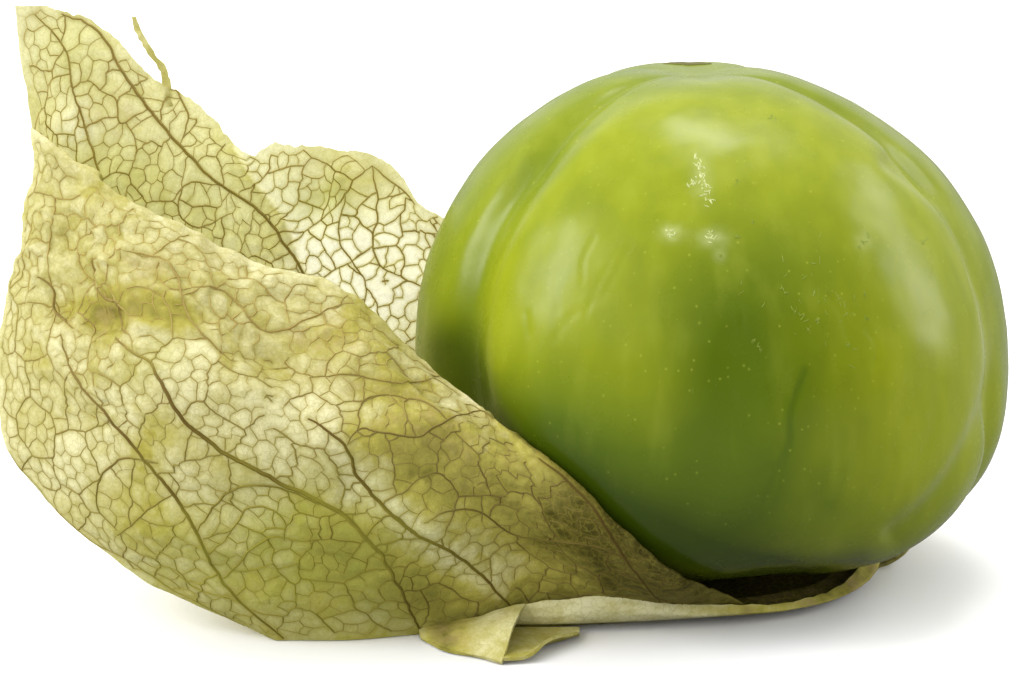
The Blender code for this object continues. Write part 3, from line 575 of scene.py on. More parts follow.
# Painted shade on the skin, beside the husk and under the berry: amount, half width, points
BERRY_PAINTED_SHADES = (
    (0.75, 2.6, ((-21, 18), (-17.8, 13.3), (-13, 8.6), (-8, 4.6), (-3, 2), (2, 0.2), (5, -0.8))),
    (0.35, 4, ((-10, 7.5), (-4, 4.5), (3, 3))),
    (0.6, 1.2, ((4, -0.3), (9, 0.2), (12, 0.8))),
)

# Colours as seen in even light; two of them are the colours of painted shade
PALE_PAPER = (0.84, 0.8, 0.48)
MID_PAPER = (0.48, 0.43, 0.09)
DARK_PAPER = (0.092, 0.08, 0.009)
GREEN_PAPER = (0.42, 0.45, 0.08)
RUST_PAPER = (0.46, 0.32, 0.17)
# The colour of painted shade on the husk
PAINTED_SHADE_PAPER = (0.03, 0.024, 0.005)
HALO = (0.36, 0.31, 0.05)
FAINT_VEIN = (0.74, 0.59, 0.21)
FINE_VEIN = (0.55, 0.46, 0.15)
STOUT_VEIN = (0.19, 0.12, 0.022)
DARK_VEIN = (0.13, 0.09, 0.015)
GREEN_VEIN = (0.42, 0.4, 0.05)
# The colour of painted shade on the berry's skin
BERRY_PAINTED_SHADE = (0.028, 0.05, 0.0008)
BERRY_BRIGHT = (0.265, 0.31, 0.006)
BERRY_DEEP = (0.092, 0.145, 0.0015)
BERRY_PALE = (0.46, 0.51, 0.06)
CORK = (0.66, 0.7, 0.36)


def through(points, steps):
    """A smooth curve through points, along their first axis, with steps[i] samples in gap i."""
    points = np.asarray(points, float)
    gaps = np.diff(points, axis=0)
    lengths = np.maximum(np.linalg.norm(gaps, axis=-1, keepdims=True), 1e-6)
    slopes = gaps / lengths
    tangents = np.empty_like(points)
    before = lengths[:-1]
    after = lengths[1:]
    tangents[1:-1] = (slopes[1:] * before + slopes[:-1] * after) / (before + after)
    tangents[0] = slopes[0]
    tangents[-1] = slopes[-1]
    samples = [points[:1]]
    for i, count in enumerate(steps):
        t = np.arange(1, count + 1) / count
        t = t.reshape((-1,) + (1,) * (points.ndim - 1))
        leave = lengths[i] * tangents[i]
        arrive = lengths[i] * tangents[i + 1]
        samples.append(
            (2 * t**3 - 3 * t**2 + 1) * points[i]
            + (t**3 - 2 * t**2 + t) * leave
            + (3 * t**2 - 2 * t**3) * points[i + 1]
            + (t**3 - t**2) * arrive
        )
    return np.concatenate(samples)


def line_grid(lines, line_steps, across_steps):
    """A grid of points, [across, along, xyz], from lines that each have as many points."""
    along = np.stack([through(line, line_steps) for line in lines])
    return through(along, [across_steps] * (len(lines) - 1))


def over_floor(foot, steps):
    """Points straight over the floor, from near the husk's middle to a line's foot."""
    core = np.array(CORE)
    shares = np.linspace(CORE_SHARE, 1.0, steps + 1)
    return core + shares[:, None] * (np.array(foot, float) - core)


def walls_grid(lines, wall_steps, across_steps):
    """The sheet through a set of husk lines: over the floor to each foot, then up the wall."""
    floors = [over_floor(line[0], FLOOR_STEPS)[:-1] for line in lines]
    along = [np.concatenate([floor, through(line, wall_steps)]) for floor, line in zip(floors, lines)]
    return through(np.stack(along), [across_steps] * (len(lines) - 1))


def normals_of(grid):
    """Unit normals of a grid, pointing where across cross along points."""
    across = np.gradient(grid, axis=0)
    along = np.gradient(grid, axis=1)
    normals = np.cross(across, along)
    return normals / np.maximum(np.linalg.norm(normals, axis=-1, keepdims=True), 1e-9)


def crinkle(grid):
    """A seeded mix of waves, from -1 to 1, at each point of a grid."""
    draw = np.random.default_rng(SEED)
    total = np.zeros(grid.shape[:2])
    for _ in range(CRINKLE_WAVES):
        wave = draw.normal(0.0, CRINKLE_PITCH, 3)
        total += np.sin(grid @ wave + draw.uniform(0.0, 2 * math.pi))
    return total / math.sqrt(2 * CRINKLE_WAVES)


def folded(grid):
    """A wall's grid with its folds pressed in."""
    shifted = grid.copy()
    for start, end, width, shift in FOLDS:
        start, run = np.array(start, float), np.array(end, float) - np.array(start, float)
        share = np.clip((grid - start) @ run / max(run @ run, 1e-9), 0.0, 1.0)
        away = np.linalg.norm(grid - start - share[..., None] * run, axis=-1)
        shifted += bell(away, width)[..., None] * np.array(shift)
    return shifted


def ramp(values, start, length):
    """From 0 at a start to 1 a length beyond it, and level on both sides."""
    return np.clip((values - start) / length, 0.0, 1.0)


def within(values, most=1.0):
    """Values kept between none and the most."""
    return np.clip(values, 0.0, most)


def bell(values, width):
    """A soft bump: 1 at no distance, and fading over a width."""
    return np.exp(-((values / width) ** 2))


def seen(points):
    """Where points are seen on the picture plane, in millimetres across and up."""
    x, y, z = np.moveaxis(np.asarray(points, float), -1, 0)
    rise = z * math.cos(TILT) + y * math.sin(TILT)
    depth = y * math.cos(TILT) - z * math.sin(TILT)
    larger = CAMERA_DISTANCE / (CAMERA_DISTANCE + depth - BERRY_DEPTH)
    mid_x, mid_rise = PICTURE_MIDDLE
    return np.stack([mid_x + (x - mid_x) * larger, mid_rise + (rise - mid_rise) * larger], axis=-1)


def ridged(points, pitch, seed):
    """Sharp-crested noise from 0 to 1 at each point."""
    flat = np.asarray(points, float).reshape(-1, 3) / pitch + seed
    values = np.array([1.0 - 2.0 * abs(noise.noise(Vector(p))) for p in flat])
    return values.reshape(np.shape(points)[:-1])


def soft(points, pitch, seed):
    """Smooth noise from -1 to 1 at each point."""
    flat = np.asarray(points, float).reshape(-1, 3) / pitch + seed
    values = np.array([noise.noise(Vector(p)) for p in flat])
    return values.reshape(np.shape(points)[:-1])


def layered(points, waves):
    """The sum of smooth noises at each point: height, pitch, seed."""
    return sum(height * soft(points, pitch, seed) for height, pitch, seed in waves)


def blobs(places, spots):
    """The sum of soft spots at places seen: across, up, half width, half height, amount."""
    total = np.zeros(places.shape[:-1])
    for across, up, wide, high, amount in spots:
        away = ((places[..., 0] - across) / wide) ** 2 + ((places[..., 1] - up) / high) ** 2
        total += amount * np.exp(-away)
    return total


def distance_to_path(places, path):
    """The shortest distance from places on the picture plane to a path on it."""
    best = np.full(places.shape[:-1], 1e9)
    path = np.asarray(path, float)
    for start, end in zip(path[:-1], path[1:]):
        run = end - start
        share = np.clip((places - start) @ run / max(run @ run, 1e-9), 0.0, 1.0)
        best = np.minimum(best, np.linalg.norm(places - start - share[..., None] * run, axis=-1))
    return best


def bands(places, paths):
    """The sum of soft bands along paths seen: amount, half width, points."""
    total = np.zeros(places.shape[:-1])
    for amount, width, path in paths:
        away = distance_to_path(places, through(path, [5] * (len(path) - 1)))
        total += amount * bell(away, width)
    return total


def at(grid, params):
    """A grid's values between its points, for pairs of grid coordinates."""
    params = np.asarray(params, float)
    i = np.clip(params[..., 0], 0, grid.shape[0] - 1.001)
    j = np.clip(params[..., 1], 0, grid.shape[1] - 1.001)
    low_i, low_j = i.astype(int), j.astype(int)
    fi, fj = (i - low_i)[..., None], (j - low_j)[..., None]
    return (
        grid[low_i, low_j] * (1 - fi) * (1 - fj)
        + grid[low_i + 1, low_j] * fi * (1 - fj)
        + grid[low_i, low_j + 1] * (1 - fi) * fj
        + grid[low_i + 1, low_j + 1] * fi * fj
    )


def tree_of(points):
    """A search tree of points."""
    points = np.asarray(points, float).reshape(-1, 3)
    tree = kdtree.KDTree(len(points))
    for index, point in enumerate(points):
        tree.insert(Vector(point), index)
    tree.balance()
    return tree


def on_plane(places):
    """Places on the picture plane as points for a search tree."""
    return np.concatenate([places, np.zeros((len(places), 1))], axis=1)


def nearest(tree, points):
    """Distance and index of the nearest point of a tree, for each point."""
    found = [tree.find(Vector(p)) for p in np.asarray(points, float).reshape(-1, 3)]
    shape = np.shape(points)[:-1]
    return np.array([f[2] for f in found]).reshape(shape), np.array([f[1] for f in found]).reshape(shape)


def dense(points, step):
    """Points along a polyline, at most about a step apart."""
    points = np.asarray(points, float)
    out = []
    for start, end in zip(points[:-1], points[1:]):
        count = max(1, int(np.linalg.norm(end - start) / step))
        out.append(start + (end - start) * (np.arange(count) / count)[:, None])
    out.append(points[-1:])
    return np.concatenate(out)


def unit(vectors):
    """Vectors of length one."""
    return vectors / np.maximum(np.linalg.norm(vectors, axis=-1, keepdims=True), 1e-9)


def mesh_object(name, verts, faces, material, masks=()):
    """An object from points in millimetres and faces, shaded smooth, that rides on the frame."""
    data = bpy.data.meshes.new(name)
    data.from_pydata((np.asarray(verts) * MM).tolist(), [], [tuple(map(int, face)) for face in faces])
    for label, values in dict(masks).items():
        layer = data.attributes.new(label, "FLOAT", "POINT")
        layer.data.foreach_set("value", np.asarray(values, dtype=np.float32).ravel())
    data.materials.append(material)
    data.shade_smooth()
    data.set_sharp_from_angle(angle=SHARP_EDGE)
    data.update()
    piece = bpy.data.objects.new(name, data)
    bpy.context.scene.collection.objects.link(piece)
    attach(piece, "root")
    return piece


def grid_faces(columns, rows, flip=False):
    """Faces of a grid of columns by rows, each cut in two triangles."""
    i, j = np.meshgrid(np.arange(columns - 1), np.arange(rows - 1), indexing="ij")
    a = (i * rows + j).ravel()
    b, c, d = a + rows, a + rows + 1, a + 1
    faces = np.concatenate([np.stack([a, b, c], 1), np.stack([a, c, d], 1)])
    return faces[:, ::-1] if flip else faces


def shell(grid, thickness):
    """Points and faces of a closed sheet: a grid, and the same grid a thickness behind it."""
    columns, rows = grid.shape[:2]
    behind = grid - normals_of(grid) * thickness
    verts = np.concatenate([grid.reshape(-1, 3), behind.reshape(-1, 3)])
    front = grid_faces(columns, rows)
    back = grid_faces(columns, rows, True) + columns * rows
    index = np.arange(columns * rows).reshape(columns, rows)
    rim = np.concatenate([index[:, 0], index[-1, 1:], index[-2::-1, -1], index[0, -2:0:-1]])
    after = np.roll(rim, -1)
    far = columns * rows
    lower = np.stack([rim, rim + far, after + far], 1)
    upper = np.stack([rim, after + far, after], 1)
    return verts, np.concatenate([front, back, lower, upper])


def tubes(paths):
    """Points and faces of four-sided veins. Each path is places, outward normals and half thicknesses."""
    verts, faces, count = [], [], 0
    for places, normals, radii in paths:
        run = np.gradient(places, axis=0)
        side = unit(np.cross(run, normals))
        radii = np.asarray(radii)[:, None]
        rings = np.stack([normals * radii, side * radii, -normals * radii, -side * radii], axis=1)
        verts.append((rings + places[:, None, :]).reshape(-1, 3))
        start = count + 4 * np.arange(len(places) - 1)[:, None]
        corner = np.arange(4)[None, :]
        following = (corner + 1) % 4
        ends = start + 4
        quads = np.stack([start + corner, ends + corner, ends + following, start + following], axis=2)
        faces.extend(quads.reshape(-1, 4).tolist())
        last = count + 4 * (len(places) - 1)
        faces.append([count, count + 1, count + 2, count + 3])
        faces.append([last + 3, last + 2, last + 1, last])
        count += 4 * len(places)
    return np.concatenate(verts), faces


class Wall:
    """A wall of the husk as a grid, with what it takes to lay veins on it."""

    def __init__(self, grid, side, seen_side):
        self.grid = grid
        self.normals = side * normals_of(grid)
        self.seen = seen(grid)
        toward = np.array((0.0, -math.cos(TILT), math.sin(TILT)))
        shows = seen_side * (self.normals @ toward) > 0.05
        shows[:, :FLOOR_STEPS] = False
        self.shown = np.argwhere(shows)
        self.tree = tree_of(on_plane(self.seen[shows]))

    def route(self, path):
        """Grid coordinates along a path that is given as seen."""
        curve = through(path, [12] * (len(path) - 1))
        along = np.concatenate([[0.0], np.cumsum(np.linalg.norm(np.diff(curve, axis=0), axis=1))])
        ticks = np.linspace(0.0, along[-1], max(4, int(along[-1] / ROUTE_STEP)))
        curve = np.stack([np.interp(ticks, along, curve[:, k]) for k in range(2)], axis=1)
        _, index = nearest(self.tree, on_plane(curve))
        params = self.shown[index].astype(float)
        half = np.array(((0.5, 0.0), (0.0, 0.5)))
        for _ in range(3):
            miss = curve - at(self.seen, params)
            di = at(self.seen, params + half[0]) - at(self.seen, params - half[0])
            dj = at(self.seen, params + half[1]) - at(self.seen, params - half[1])
            det = di[:, 0] * dj[:, 1] - di[:, 1] * dj[:, 0]
            det = np.where(np.abs(det) < 1e-4, 1e9, det)
            step_i = (miss[:, 0] * dj[:, 1] - miss[:, 1] * dj[:, 0]) / det
            step_j = (di[:, 0] * miss[:, 1] - di[:, 1] * miss[:, 0]) / det
            params += np.clip(np.stack([step_i, step_j], axis=1), -1.0, 1.0)
        for _ in range(2):
            params[1:-1] = 0.25 * params[:-2] + 0.5 * params[1:-1] + 0.25 * params[2:]
        places = at(self.grid, params)
        shift = np.stack([soft(places, 1.3, 3.0), soft(places, 1.3, 9.0)], axis=1)
        shift += 0.5 * np.stack([soft(places, 0.6, 5.0), soft(places, 0.6, 2.0)], axis=1)
        return params + WOBBLE * shift * np.minimum(1.0, np.arange(len(params))[::-1] / 3.0)[:, None]


def scatter(wall, spacing, draw):
    """Grid coordinates of points at least a spacing apart on a wall."""
    grid = wall.grid[:, FLOOR_STEPS:]
    area = np.linalg.norm(np.cross(grid[1:, :-1] - grid[:-1, :-1], grid[:-1, 1:] - grid[:-1, :-1]), axis=-1)
    count = int(area.sum() / spacing**2 * CELL_TRIES)
    cells = draw.choice(area.size, size=count, p=(area / area.sum()).ravel())
    i, j = np.unravel_index(cells, area.shape)
    params = np.stack([i + draw.random(count), j + FLOOR_STEPS + draw.random(count)], axis=1)
    places = at(wall.grid, params)
    kept, buckets = [], {}
    for index, place in enumerate(places):
        key = tuple((place // spacing).astype(int))
        near = (
            places[other]
            for dx in (-1, 0, 1)
            for dy in (-1, 0, 1)
            for dz in (-1, 0, 1)
            for other in buckets.get((key[0] + dx, key[1] + dy, key[2] + dz), ())
        )
        if all(((place - other) ** 2).sum() >= spacing**2 for other in near):
            kept.append(index)
            buckets.setdefault(key, []).append(index)
    return params[kept]


class Net:
    """The net of veins between a wall's main ones."""

    def __init__(self, wall, routes, draw):
        self.wall = wall
        self.cells = scatter(wall, SMALL_MESH * CELL_GAP, draw)
        self.places = at(wall.grid, self.cells)
        self.owners = []
        for spacing in (LARGE_MESH, MIDDLE_MESH):
            larger = tree_of(at(wall.grid, scatter(wall, spacing * CELL_GAP, draw)))
            blurred = self.places + draw.normal(0.0, MESH_BLUR, self.places.shape)
            self.owners.append(nearest(larger, blurred)[1])
        self.paths = self.sides(routes, draw)

    def corners(self):
        """Triangles between neighbouring cells; each is a corner of the net."""
        tree = tree_of(self.places)
        normals = at(self.wall.normals, self.cells)
        votes = {}
        for index, place in enumerate(self.places):
            near = [k for _, k, _ in tree.find_range(Vector(place), CELL_REACH * SMALL_MESH)]
            near = [k for k in near if abs((self.places[k] - place) @ normals[index]) < SMALL_MESH]
            side = unit(np.cross(normals[index], (0.31, 0.22, 0.93)))
            axes = np.stack([side, np.cross(normals[index], side)])
            flat = (self.places[near] - place) @ axes.T
            found = geometry.delaunay_2d_cdt([Vector(p) for p in flat], [], [], 0, 1e-7)
            for face in found[2]:
                key = tuple(sorted(near[found[3][k][0]] for k in face))
                if index in key:
                    votes[key] = votes.get(key, 0) + 1
        return [key for key, count in votes.items() if count > 1]

    def level(self, a, b):
        """How thick a vein between two cells is."""
        for owner, radius in zip(self.owners, (LARGE_VEIN, MIDDLE_VEIN)):
            if owner[a] != owner[b]:
                return radius
        return SMALL_VEIN

    def sides(self, routes, draw):
        """The net's sides as paths of grid coordinates, each with its half thickness."""
        corners = self.corners()
        nodes = np.array([self.cells[list(t)].mean(axis=0) for t in corners])
        shared = {}
        for index, t in enumerate(corners):
            for k in range(3):
                shared.setdefault(tuple(sorted((t[k], t[k - 1]))), []).append(index)
        edges = [(p[0], p[1], self.level(a, b)) for (a, b), p in shared.items() if len(p) == 2]
        main = np.concatenate(routes)
        distance, index = nearest(tree_of(at(self.wall.grid, main)), at(self.wall.grid, nodes))
        snapped = distance < SNAP
        nodes[snapped] = main[index[snapped]]
        nodes = self.smoothed(nodes, edges, snapped)
        paths = []
        for a, b, radius in edges:
            if (snapped[a] and snapped[b]) or (radius == SMALL_VEIN and draw.random() < OPEN_SHARE):
                continue
            middle = 0.5 * (nodes[a] + nodes[b])
            across = np.array([nodes[b][1] - nodes[a][1], nodes[a][0] - nodes[b][0]])
            middle = middle + across * draw.uniform(-BEND, BEND)
            paths.append((np.stack([nodes[a], middle, nodes[b]]), radius))
        return paths

    def smoothed(self, nodes, edges, fixed):
        """The net's corners with the sides of its large meshes evened out."""
        neighbours = {}
        for a, b, radius in edges:
            if radius == LARGE_VEIN:
                neighbours.setdefault(a, []).append(b)
                neighbours.setdefault(b, []).append(a)
        for _ in range(3):
            moved = nodes.copy()
            for a, others in neighbours.items():
                if not fixed[a] and len(others) == 2:
                    moved[a] = 0.4 * nodes[a] + 0.3 * (nodes[others[0]] + nodes[others[1]])
            nodes = moved
        return nodes


def vein_object(name, wall, paper, lines, paint, material):
    """The veins of a wall, laid on its paper. Each line is a route, a half thickness and its kind's."""
    drawn = []
    for path, radius, _ in lines:
        ends = np.abs(np.linspace(-1.0, 1.0, len(path))) if len(path) > 3 else np.zeros(len(path))
        drawn.append((at(paper, path), unit(at(wall.normals, path)), radius * (1.0 - 0.5 * ends**3)))
    verts, faces = tubes(drawn)
    kinds = np.concatenate([np.full(4 * len(path), kind) for path, _, kind in lines])
    masks = {**paint(seen(verts), verts), "thick": ramp(kinds, SMALL_VEIN, THICK_SPAN)}
    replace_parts(mesh_object(name, verts, faces, material, masks), "husk")


def puffed(wall, veins, lines):
    """A wall's paper puffed between its veins, its distance to them, and the halo beside the stout ones."""
    run = [(dense(at(wall.grid, path), 0.15), kind) for path, _, kind in lines]
    every = nearest(tree_of(np.concatenate([p for p, _ in run])), wall.grid)[0]
    stout = [(p, kind) for p, kind in run if kind > SMALL_VEIN]
    strength = np.concatenate([np.full(len(p), kind) for p, kind in stout])
    far, index = nearest(tree_of(np.concatenate([p for p, _ in stout])), wall.grid)
    halo = within(strength[index] / HALO_FULL) * bell(far, HALO_WIDTH)
    lift = PUFF_LARGE[0] * (1 - bell(far, PUFF_LARGE[1]))
    lift += PUFF_SMALL[0] * (1 - bell(every, PUFF_SMALL[1]))
    for route, _, crest in veins:
        if crest:
            away = nearest(tree_of(dense(at(wall.grid, route), 0.3)), wall.grid)[0]
            lift += crest * np.exp(-away / CREST_WIDTH)
    lift *= within(wall.grid[..., 2] / FADE_HEIGHT)
    paper = wall.grid + wall.normals * lift[..., None]
    paper[..., 2] = np.maximum(paper[..., 2], 0.0)
    return paper, every, halo


def cell_tones(wall, net, draw):
    """How each place's cell and large mesh differ in tone from the rest."""
    cell = nearest(tree_of(net.places), wall.grid)[1]
    large = net.owners[0]
    shade = draw.normal(0.0, CELL_TONE, len(net.cells))[cell]
    shade += draw.normal(0.0, MESH_TONE, large.max() + 1)[large[cell]]
    return np.clip(shade, *TONE_LIMITS)


def wall_pieces(name, wall, veins, paint, flip, materials, finish=None):
    """The paper of one wall and the veins on it. Each vein is a route, a half thickness and a crest."""
    draw = np.random.default_rng(SEED + len(name))
    net = Net(wall, [route for route, _, _ in veins], draw)
    lines = [(route, radius, radius) for route, radius, _ in veins]
    lines.extend((path, kind * draw.uniform(*UNEVEN), kind) for path, kind in net.paths)
    paper, every, halo = puffed(wall, veins, lines)
    extras = {"vein": every, "halo": halo, "shade": cell_tones(wall, net, draw)}
    vein_object(name + "_veins", wall, paper, lines, paint, materials["vein"])
    if finish is not None:
        added = finish(paper, wall.normals)
        for key, values in extras.items():
            more = np.repeat(values[:, -1:], added.shape[1], axis=1)
            extras[key] = np.concatenate([values, more], axis=1)
        paper = np.concatenate([paper, added], axis=1)
    flat = paper.reshape(-1, 3)
    masks = {**paint(seen(flat), flat), **extras}
    faces = grid_faces(*paper.shape[:2], flip)
    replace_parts(mesh_object(name, flat, faces, materials["paper"], masks), "husk")


def front_paint(places, points):
    """Colour masks of the front wall."""
    across, up = places[:, 0], places[:, 1]
    # Darker to the right and toward the bottom: partly the paper's own olive colour, partly painted shade
    # where the wall turns under and faces down
    tone = 0.10 + 0.55 * ramp(across, -38.0, 34.0) + 0.22 * ramp(-up, -8.0, 12.0)
    tone += blobs(places, FRONT_TONES) + bands(places, FRONT_BANDS)
    return {
        "tone": within(tone),
        "green": within(blobs(places, FRONT_GREENS)),
        "rust": within(blobs(places, FRONT_RUSTS)),
        "clear": np.zeros(len(places)),
        # Painted shade low on the front wall and beside the berry
        "dark": within(bands(places, FRONT_PAINTED_SHADES), 0.8),
        "thin": 0.55 - 0.35 * ramp(across, -35.0, 20.0),
        "dry": within(DRY_ELSEWHERE + blobs(places, DRY_PLACES)),
        "faint": within(0.05 + 0.6 * blobs(places, DRY_PLACES), 0.6),
    }


def back_paint(places, points):
    """Colour masks of the back wall."""
    behind = ramp(points[:, 0], -18.0, 20.0)
    beside = beside_overlap(places)
    high = ramp(places[:, 1], 22.0, 3.0) * (1.0 - behind)
    tone = 0.06 + blobs(places, BACK_TONES) + bands(places, BACK_BANDS) + 0.30 * behind
    tone += high * 0.22 * bell(np.minimum(beside, 0.0), 1.6) * (beside < 0.1)
    pale = high * 0.45 * bell(beside, 3.4) * within(beside / 0.3)
    return {
        "tone": within(tone - pale),
        "green": within(blobs(places, BACK_GREENS) + 0.4 * behind),
        "rust": within(blobs(places, BACK_RUSTS)),
        "clear": within(blobs(places, BACK_CLEARS) + pale) * (1.0 - behind),
        "thin": np.ones(len(places)),
        "dry": np.full(len(places), 0.2),
        "faint": np.full(len(places), 0.6),
    }


def flat_paint(tone, thin):
    """Colour masks of a sheet without a net of its own."""

    def paint(places, points):
        zero = np.zeros(len(places))
        even = {"tone": tone, "green": 0.1, "rust": 0.1, "clear": 0.0, "thin": thin, "vein": 0.4}
        masks = {key: zero + value for key, value in even.items()}
        return {**masks, "halo": zero, "shade": 0.15 * soft(points, 1.3, 2.0), "dry": zero + 0.5}

    return paint


def rough_paper(grid, side, dents):
    """A wall's grid with its folds, waves, dents and fine crumples."""
    grid = folded(grid)
    normals = side * normals_of(grid)
    fade = within(grid[..., 2] / FADE_HEIGHT)
    places = seen(grid)
    dry = DRY_ELSEWHERE + blobs(places, DRY_PLACES)
    run = unit(np.array(CRUMPLE_RUN))
    lift = CRINKLE * crinkle(grid) + 0.18 * soft(grid, 4.5, 21.0)
    for index, (pitch, height, squeeze) in enumerate(CRUMPLES):
        squeezed = grid - (grid @ run)[..., None] * run * (1.0 - squeeze)
        warped = squeezed + 0.25 * pitch * np.stack([soft(grid, pitch, 30.0 + k) for k in range(3)], axis=-1)
        lift += height * dry * (ridged(warped, pitch, 7.0 * index + 3.0) - 0.6)
    shown = np.clip(side * (normals @ np.array((0.0, -math.cos(TILT), math.sin(TILT)))) * 2.0, 0.0, 1.0)
    lift -= shown * blobs(places, dents)
    shaped = grid + normals * (lift * fade)[..., None]
    shaped[..., 2] = np.maximum(shaped[..., 2], 0.0)
    return shaped


def rolled(paper, normals):
    """Rows that roll the front wall's top edge inward."""
    top = paper[:, -1]
    along = unit(paper[:, -1] - paper[:, -5])
    outward = unit(normals[:, -1])
    radius = np.interp(np.linspace(0.0, 1.0, len(top)), ROLL_PLACES, ROLL)
    radius = (radius * (1.0 + 0.25 * soft(top, 2.5, 4.0)))[:, None]
    rows = []
    for turn in np.radians(ROLL_TURNS):
        rows.append(top + radius * (along * math.sin(turn) - outward * (1 - math.cos(turn))))
    return np.stack(rows, axis=1)


def torn(grid):
    """A back wall's grid with its torn edge."""
    edge = grid[:, -1]
    jag = layered(edge, TEARS) * within(np.arange(len(edge)) / 12.0)
    share = (np.arange(1, TORN_ROWS + 1) / TORN_ROWS) ** 2
    along = unit(grid[:, -1] - grid[:, -4])
    grid[:, -TORN_ROWS:] += share[None, :, None] * jag[:, None, None] * along[:, None, :]
    return grid


def beside_overlap(places):
    """How far right of the tall lobe's edge places lie, as seen."""
    curve = through(OVERLAP[2], [8] * (len(OVERLAP[2]) - 1))
    return places[..., 0] - np.interp(places[..., 1], curve[::-1, 1], curve[::-1, 0])


def overlapped(grid):
    """The back wall's grid with the step at the edge of its tall lobe."""
    height, width, path = OVERLAP
    curve = through(path, [8] * (len(path) - 1))
    places = seen(grid)
    away = distance_to_path(places, curve)
    right = within(beside_overlap(places) / width)
    near = bell(away, 3.0) * (grid[..., 1] < 19.0)
    return grid + normals_of(grid) * (height * right * near)[..., None]


def new_material(name):
    """A material with an empty node tree and its output."""
    material = bpy.data.materials.new(name)
    material.use_nodes = True
    tree = material.node_tree
    tree.nodes.clear()
    output = tree.nodes.new("ShaderNodeOutputMaterial")
    return material, tree, output


def node(tree, kind, inputs=(), **settings):
    """A shader node with its settings and inputs; an input is a value or another node's socket."""
    made = tree.nodes.new("ShaderNode" + kind)
    for name, value in settings.items():
        setattr(made, name, value)
    for key, value in dict(inputs).items():
        socket = made.inputs[key]
        if isinstance(value, bpy.types.NodeSocket):
            tree.links.new(value, socket)
        else:
            socket.default_value = value
    return made


def maths(tree, operation, a, b=0.0, clamp=False):
    """The result of a maths node."""
    return node(tree, "Math", {0: a, 1: b}, operation=operation, use_clamp=clamp).outputs[0]


def times(tree, a, b, clamp=False):
    """The product of two values."""
    return maths(tree, "MULTIPLY", a, b, clamp)


def plus(tree, a, b, clamp=False):
    """The sum of two values."""
    return maths(tree, "ADD", a, b, clamp)


def show(material, tree, output, shader):
    """The material with its shader on its surface."""
    tree.links.new(shader, output.inputs["Surface"])
    return material


def mask(tree, name):
    """A mesh attribute's value."""
    return node(tree, "Attribute", attribute_name=name).outputs["Fac"]


def blend(tree, factor, a, b):
    """A mix of two colours."""
    made = node(tree, "Mix", data_type="RGBA")
    for socket, value in ((made.inputs[0], factor), (made.inputs[6], a), (made.inputs[7], b)):
        if isinstance(value, bpy.types.NodeSocket):
            tree.links.new(value, socket)
        elif isinstance(value, (tuple, list)):
            socket.default_value = (*value[:3], 1.0)
        else:
            socket.default_value = value
    return made.outputs[2]


def between(tree, value, low, high, to_low=0.0, to_high=1.0):
    """A value moved from one range to another, and kept in it."""
    return node(tree, "MapRange", {0: value, 1: low, 2: high, 3: to_low, 4: to_high}).outputs[0]


def place_noise(tree, scale, detail=3.0, roughness=0.6):
    """Noise by place on the object, in cells of about one over scale metres."""
    where = node(tree, "TexCoord").outputs["Object"]
    inputs = {"Vector": where, "Scale": scale, "Detail": detail, "Roughness": roughness}
    return node(tree, "TexNoise", inputs).outputs[0]


def warped_web(tree, scale):
    """How far a place is from the edges of a bent web, with cells of one over scale metres."""
    where = node(tree, "TexCoord").outputs["Object"]
    warp = node(tree, "TexNoise", {"Vector": where, "Scale": 1100.0, "Detail": 3.0}).outputs[1]
    bent = node(tree, "VectorMath", {0: warp, 1: (0.0011, 0.0011, 0.0011)}, operation="MULTIPLY").outputs[0]
    bent = node(tree, "VectorMath", {0: bent, 1: where}, operation="ADD").outputs[0]
    web = node(tree, "TexVoronoi", {"Vector": bent, "Scale": scale}, feature="DISTANCE_TO_EDGE")
    return web.outputs["Distance"]


def creases(tree):
    """Fine sharp creases that run along the crumples."""
    where = node(tree, "TexCoord").outputs["Object"]
    drawn_out = {"Vector": where, "Rotation": CREASE_TURN, "Scale": (0.45, 1.0, 1.0)}
    turned = node(tree, "Mapping", drawn_out).outputs[0]
    inputs = {"Vector": turned, "Scale": 520.0, "Detail": 4.0, "Roughness": 0.55}
    return node(tree, "TexNoise", inputs, noise_type="RIDGED_MULTIFRACTAL").outputs[0]


